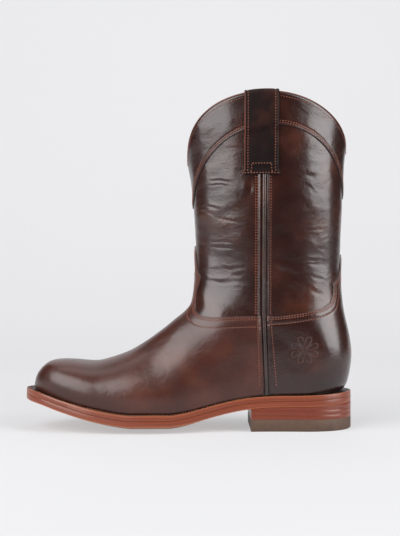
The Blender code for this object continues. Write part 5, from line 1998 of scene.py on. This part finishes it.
def make_floor(settings):
    """Sweep a pale floor up into a backdrop.

    The leather mirrors a dark floor beyond FLOOR_DARK, as if black cards lay there, while a
    ray from the camera sees the pale floor everywhere.
    """
    foot = WALL_AT - SWEEP_RADIUS
    line = [(-FLOOR_FRONT, 0.0), (foot, 0.0)]
    for step in range(1, SWEEP_STEPS + 1):
        angle = math.pi / 2 * step / SWEEP_STEPS
        line.append((foot + SWEEP_RADIUS * math.sin(angle), SWEEP_RADIUS * (1 - math.cos(angle))))
    line.append((WALL_AT, WALL_TOP))
    points = []
    for y, z in line:
        back = ease((y - foot) / SWEEP_RADIUS)
        half = (FLOOR_WIDTH + (WALL_WIDTH - FLOOR_WIDTH) * back) / 2
        points += [(-half, y, z), (half, y, z)]
    faces = [(2 * i, 2 * i + 1, 2 * i + 3, 2 * i + 2) for i in range(len(line) - 1)]
    made, tree, shader, place = new_material("painted_floor_matt")
    cloud = add_node(tree, "ShaderNodeTexNoise", values={"Scale": 3.0, "Detail": 2.0},
                     links={"Vector": (place, "Object")})
    scuffed = mixed(settings.floor, "#e8e8ea", 0.5)
    tone = ramp_node(tree, cloud, "Fac", [(0.3, scuffed), (0.7, from_hex(settings.floor))])
    split = add_node(tree, "ShaderNodeSeparateXYZ", links={"Vector": (place, "Object")})
    path = add_node(tree, "ShaderNodeLightPath")
    seen = add_node(tree, "ShaderNodeMath", settings={"operation": "MULTIPLY_ADD"})
    tree.links.new(path.outputs["Is Camera Ray"], seen.inputs[0])
    seen.inputs[1].default_value = FLOOR_WIDTH
    tree.links.new(split.outputs["Y"], seen.inputs[2])
    near = {"From Min": -FLOOR_DARK, "From Max": -FLOOR_PALE}
    lit = add_node(tree, "ShaderNodeMapRange", links={"Value": (seen, "Value")},
                   values=near | {"To Min": DIM, "To Max": settings.floor_lit})
    front = add_node(tree, "ShaderNodeMapRange", links={"Value": (seen, "Value")},
                     values=near | {"To Min": DIM, "To Max": settings.floor_glow})
    rear = add_node(tree, "ShaderNodeMapRange", links={"Value": (split, "Y")},
                    values={"From Min": 0.3, "From Max": WALL_AT, "To Max": settings.wall_glow})
    glow = add_node(tree, "ShaderNodeMath", settings={"operation": "ADD"})
    tree.links.new(front.outputs["Result"], glow.inputs[0])
    tree.links.new(rear.outputs["Result"], glow.inputs[1])
    grey = add_node(tree, "ShaderNodeHueSaturation",
                    links={"Color": (tone, "Color"), "Value": (lit, "Result")})
    tree.links.new(grey.outputs["Color"], shader.inputs["Base Color"])
    tree.links.new(glow.outputs["Value"], shader.inputs["Emission Strength"])
    shader.inputs["Emission Color"].default_value = from_hex(settings.floor)
    shader.inputs["Roughness"].default_value = 0.9
    shader.inputs["Specular IOR Level"].default_value = 0.1
    floor = make_object("floor_sweep", points, faces, [made], angle=60)
    return floor


def make_light(name, place, target, width, tall, power):
    """Hang a rectangular soft light that faces a target."""
    data = bpy.data.lights.new(name, "AREA")
    data.shape = "RECTANGLE"
    data.size, data.size_y = width, tall
    data.energy = power
    made = bpy.data.objects.new(name, data)
    made.location = place
    made.rotation_euler = (Vector(target) - Vector(place)).to_track_quat("-Z", "Y").to_euler()
    bpy.context.scene.collection.objects.link(made)
    return made


class BOOT_OT_stage(bpy.types.Operator):
    """Set the pale floor, the soft lights and the camera"""

    bl_idname = "boot.stage"
    bl_label = "Floor, lights and camera"

    def execute(self, context):
        scene = context.scene
        settings = scene.boot_stage
        make_floor(settings)
        for box in SOFT_BOXES:
            angle = math.radians(box.azimuth)
            place = (box.distance * math.sin(angle), -box.distance * math.cos(angle), box.height)
            make_light(box.name, place, LIT_POINT, box.width, box.tall, box.power)
        make_light("top_box", TOP_BOX_AT, (0.0, 0.0, 0.0), TOP_BOX_WIDE, TOP_BOX_DEEP, TOP_BOX_POWER)
        world = bpy.data.worlds.new("studio")
        world.use_nodes = True
        air = world.node_tree.nodes["Background"]
        air.inputs["Color"].default_value = from_hex(settings.floor)
        path = add_node(world.node_tree, "ShaderNodeLightPath")
        dim = add_node(world.node_tree, "ShaderNodeMapRange", values={"To Min": AIR_DIM, "To Max": 1.0},
                       links={"Value": (path, "Is Camera Ray")})
        world.node_tree.links.new(dim.outputs["Result"], air.inputs["Strength"])
        scene.world = world
        scene.view_settings.view_transform = "Standard"
        data = bpy.data.cameras.new("camera")
        data.sensor_width = 36.0
        data.lens = data.sensor_width * settings.distance / settings.view_height
        camera = bpy.data.objects.new("camera", data)
        camera.location = (settings.aside, -settings.distance, settings.height)
        camera.rotation_euler = (math.pi / 2, 0.0, 0.0)
        scene.collection.objects.link(camera)
        scene.camera = camera
        return {"FINISHED"}


OPERATORS = (
    BOOT_OT_upper, BOOT_OT_panels, BOOT_OT_seams, BOOT_OT_straps, BOOT_OT_sole, BOOT_OT_heel,
    BOOT_OT_stitching, BOOT_OT_stage,
)


class BOOT_PT_panel(bpy.types.Panel):
    """Lists the boot's pieces"""

    bl_label = "Roper Boot"
    bl_idname = "BOOT_PT_panel"
    bl_space_type = "VIEW_3D"
    bl_region_type = "UI"
    bl_category = "Boot"

    def draw(self, context):
        for operator in OPERATORS:
            self.layout.operator(operator.bl_idname)
        for settings in (context.scene.boot_sizes, context.scene.boot_colours, context.scene.boot_stage):
            for name in settings.__annotations__:
                self.layout.prop(settings, name)


CLASSES = (BootSizes, BootColours, StageSizes) + OPERATORS + (BOOT_PT_panel,)


def register():
    """Register the add-on's classes and hang its settings on the scene."""
    for item in CLASSES:
        bpy.utils.register_class(item)
    bpy.types.Scene.boot_sizes = bpy.props.PointerProperty(type=BootSizes)
    bpy.types.Scene.boot_colours = bpy.props.PointerProperty(type=BootColours)
    bpy.types.Scene.boot_stage = bpy.props.PointerProperty(type=StageSizes)


def unregister():
    """Take the settings and the classes away again."""
    for name in ("boot_sizes", "boot_colours", "boot_stage"):
        delattr(bpy.types.Scene, name)
    for item in reversed(CLASSES):
        bpy.utils.unregister_class(item)


def main():
    """Build every piece and the stage."""
    register()
    for operator in OPERATORS:
        getattr(bpy.ops.boot, operator.bl_idname.split(".")[1])()


if __name__ == "__main__":
    main()
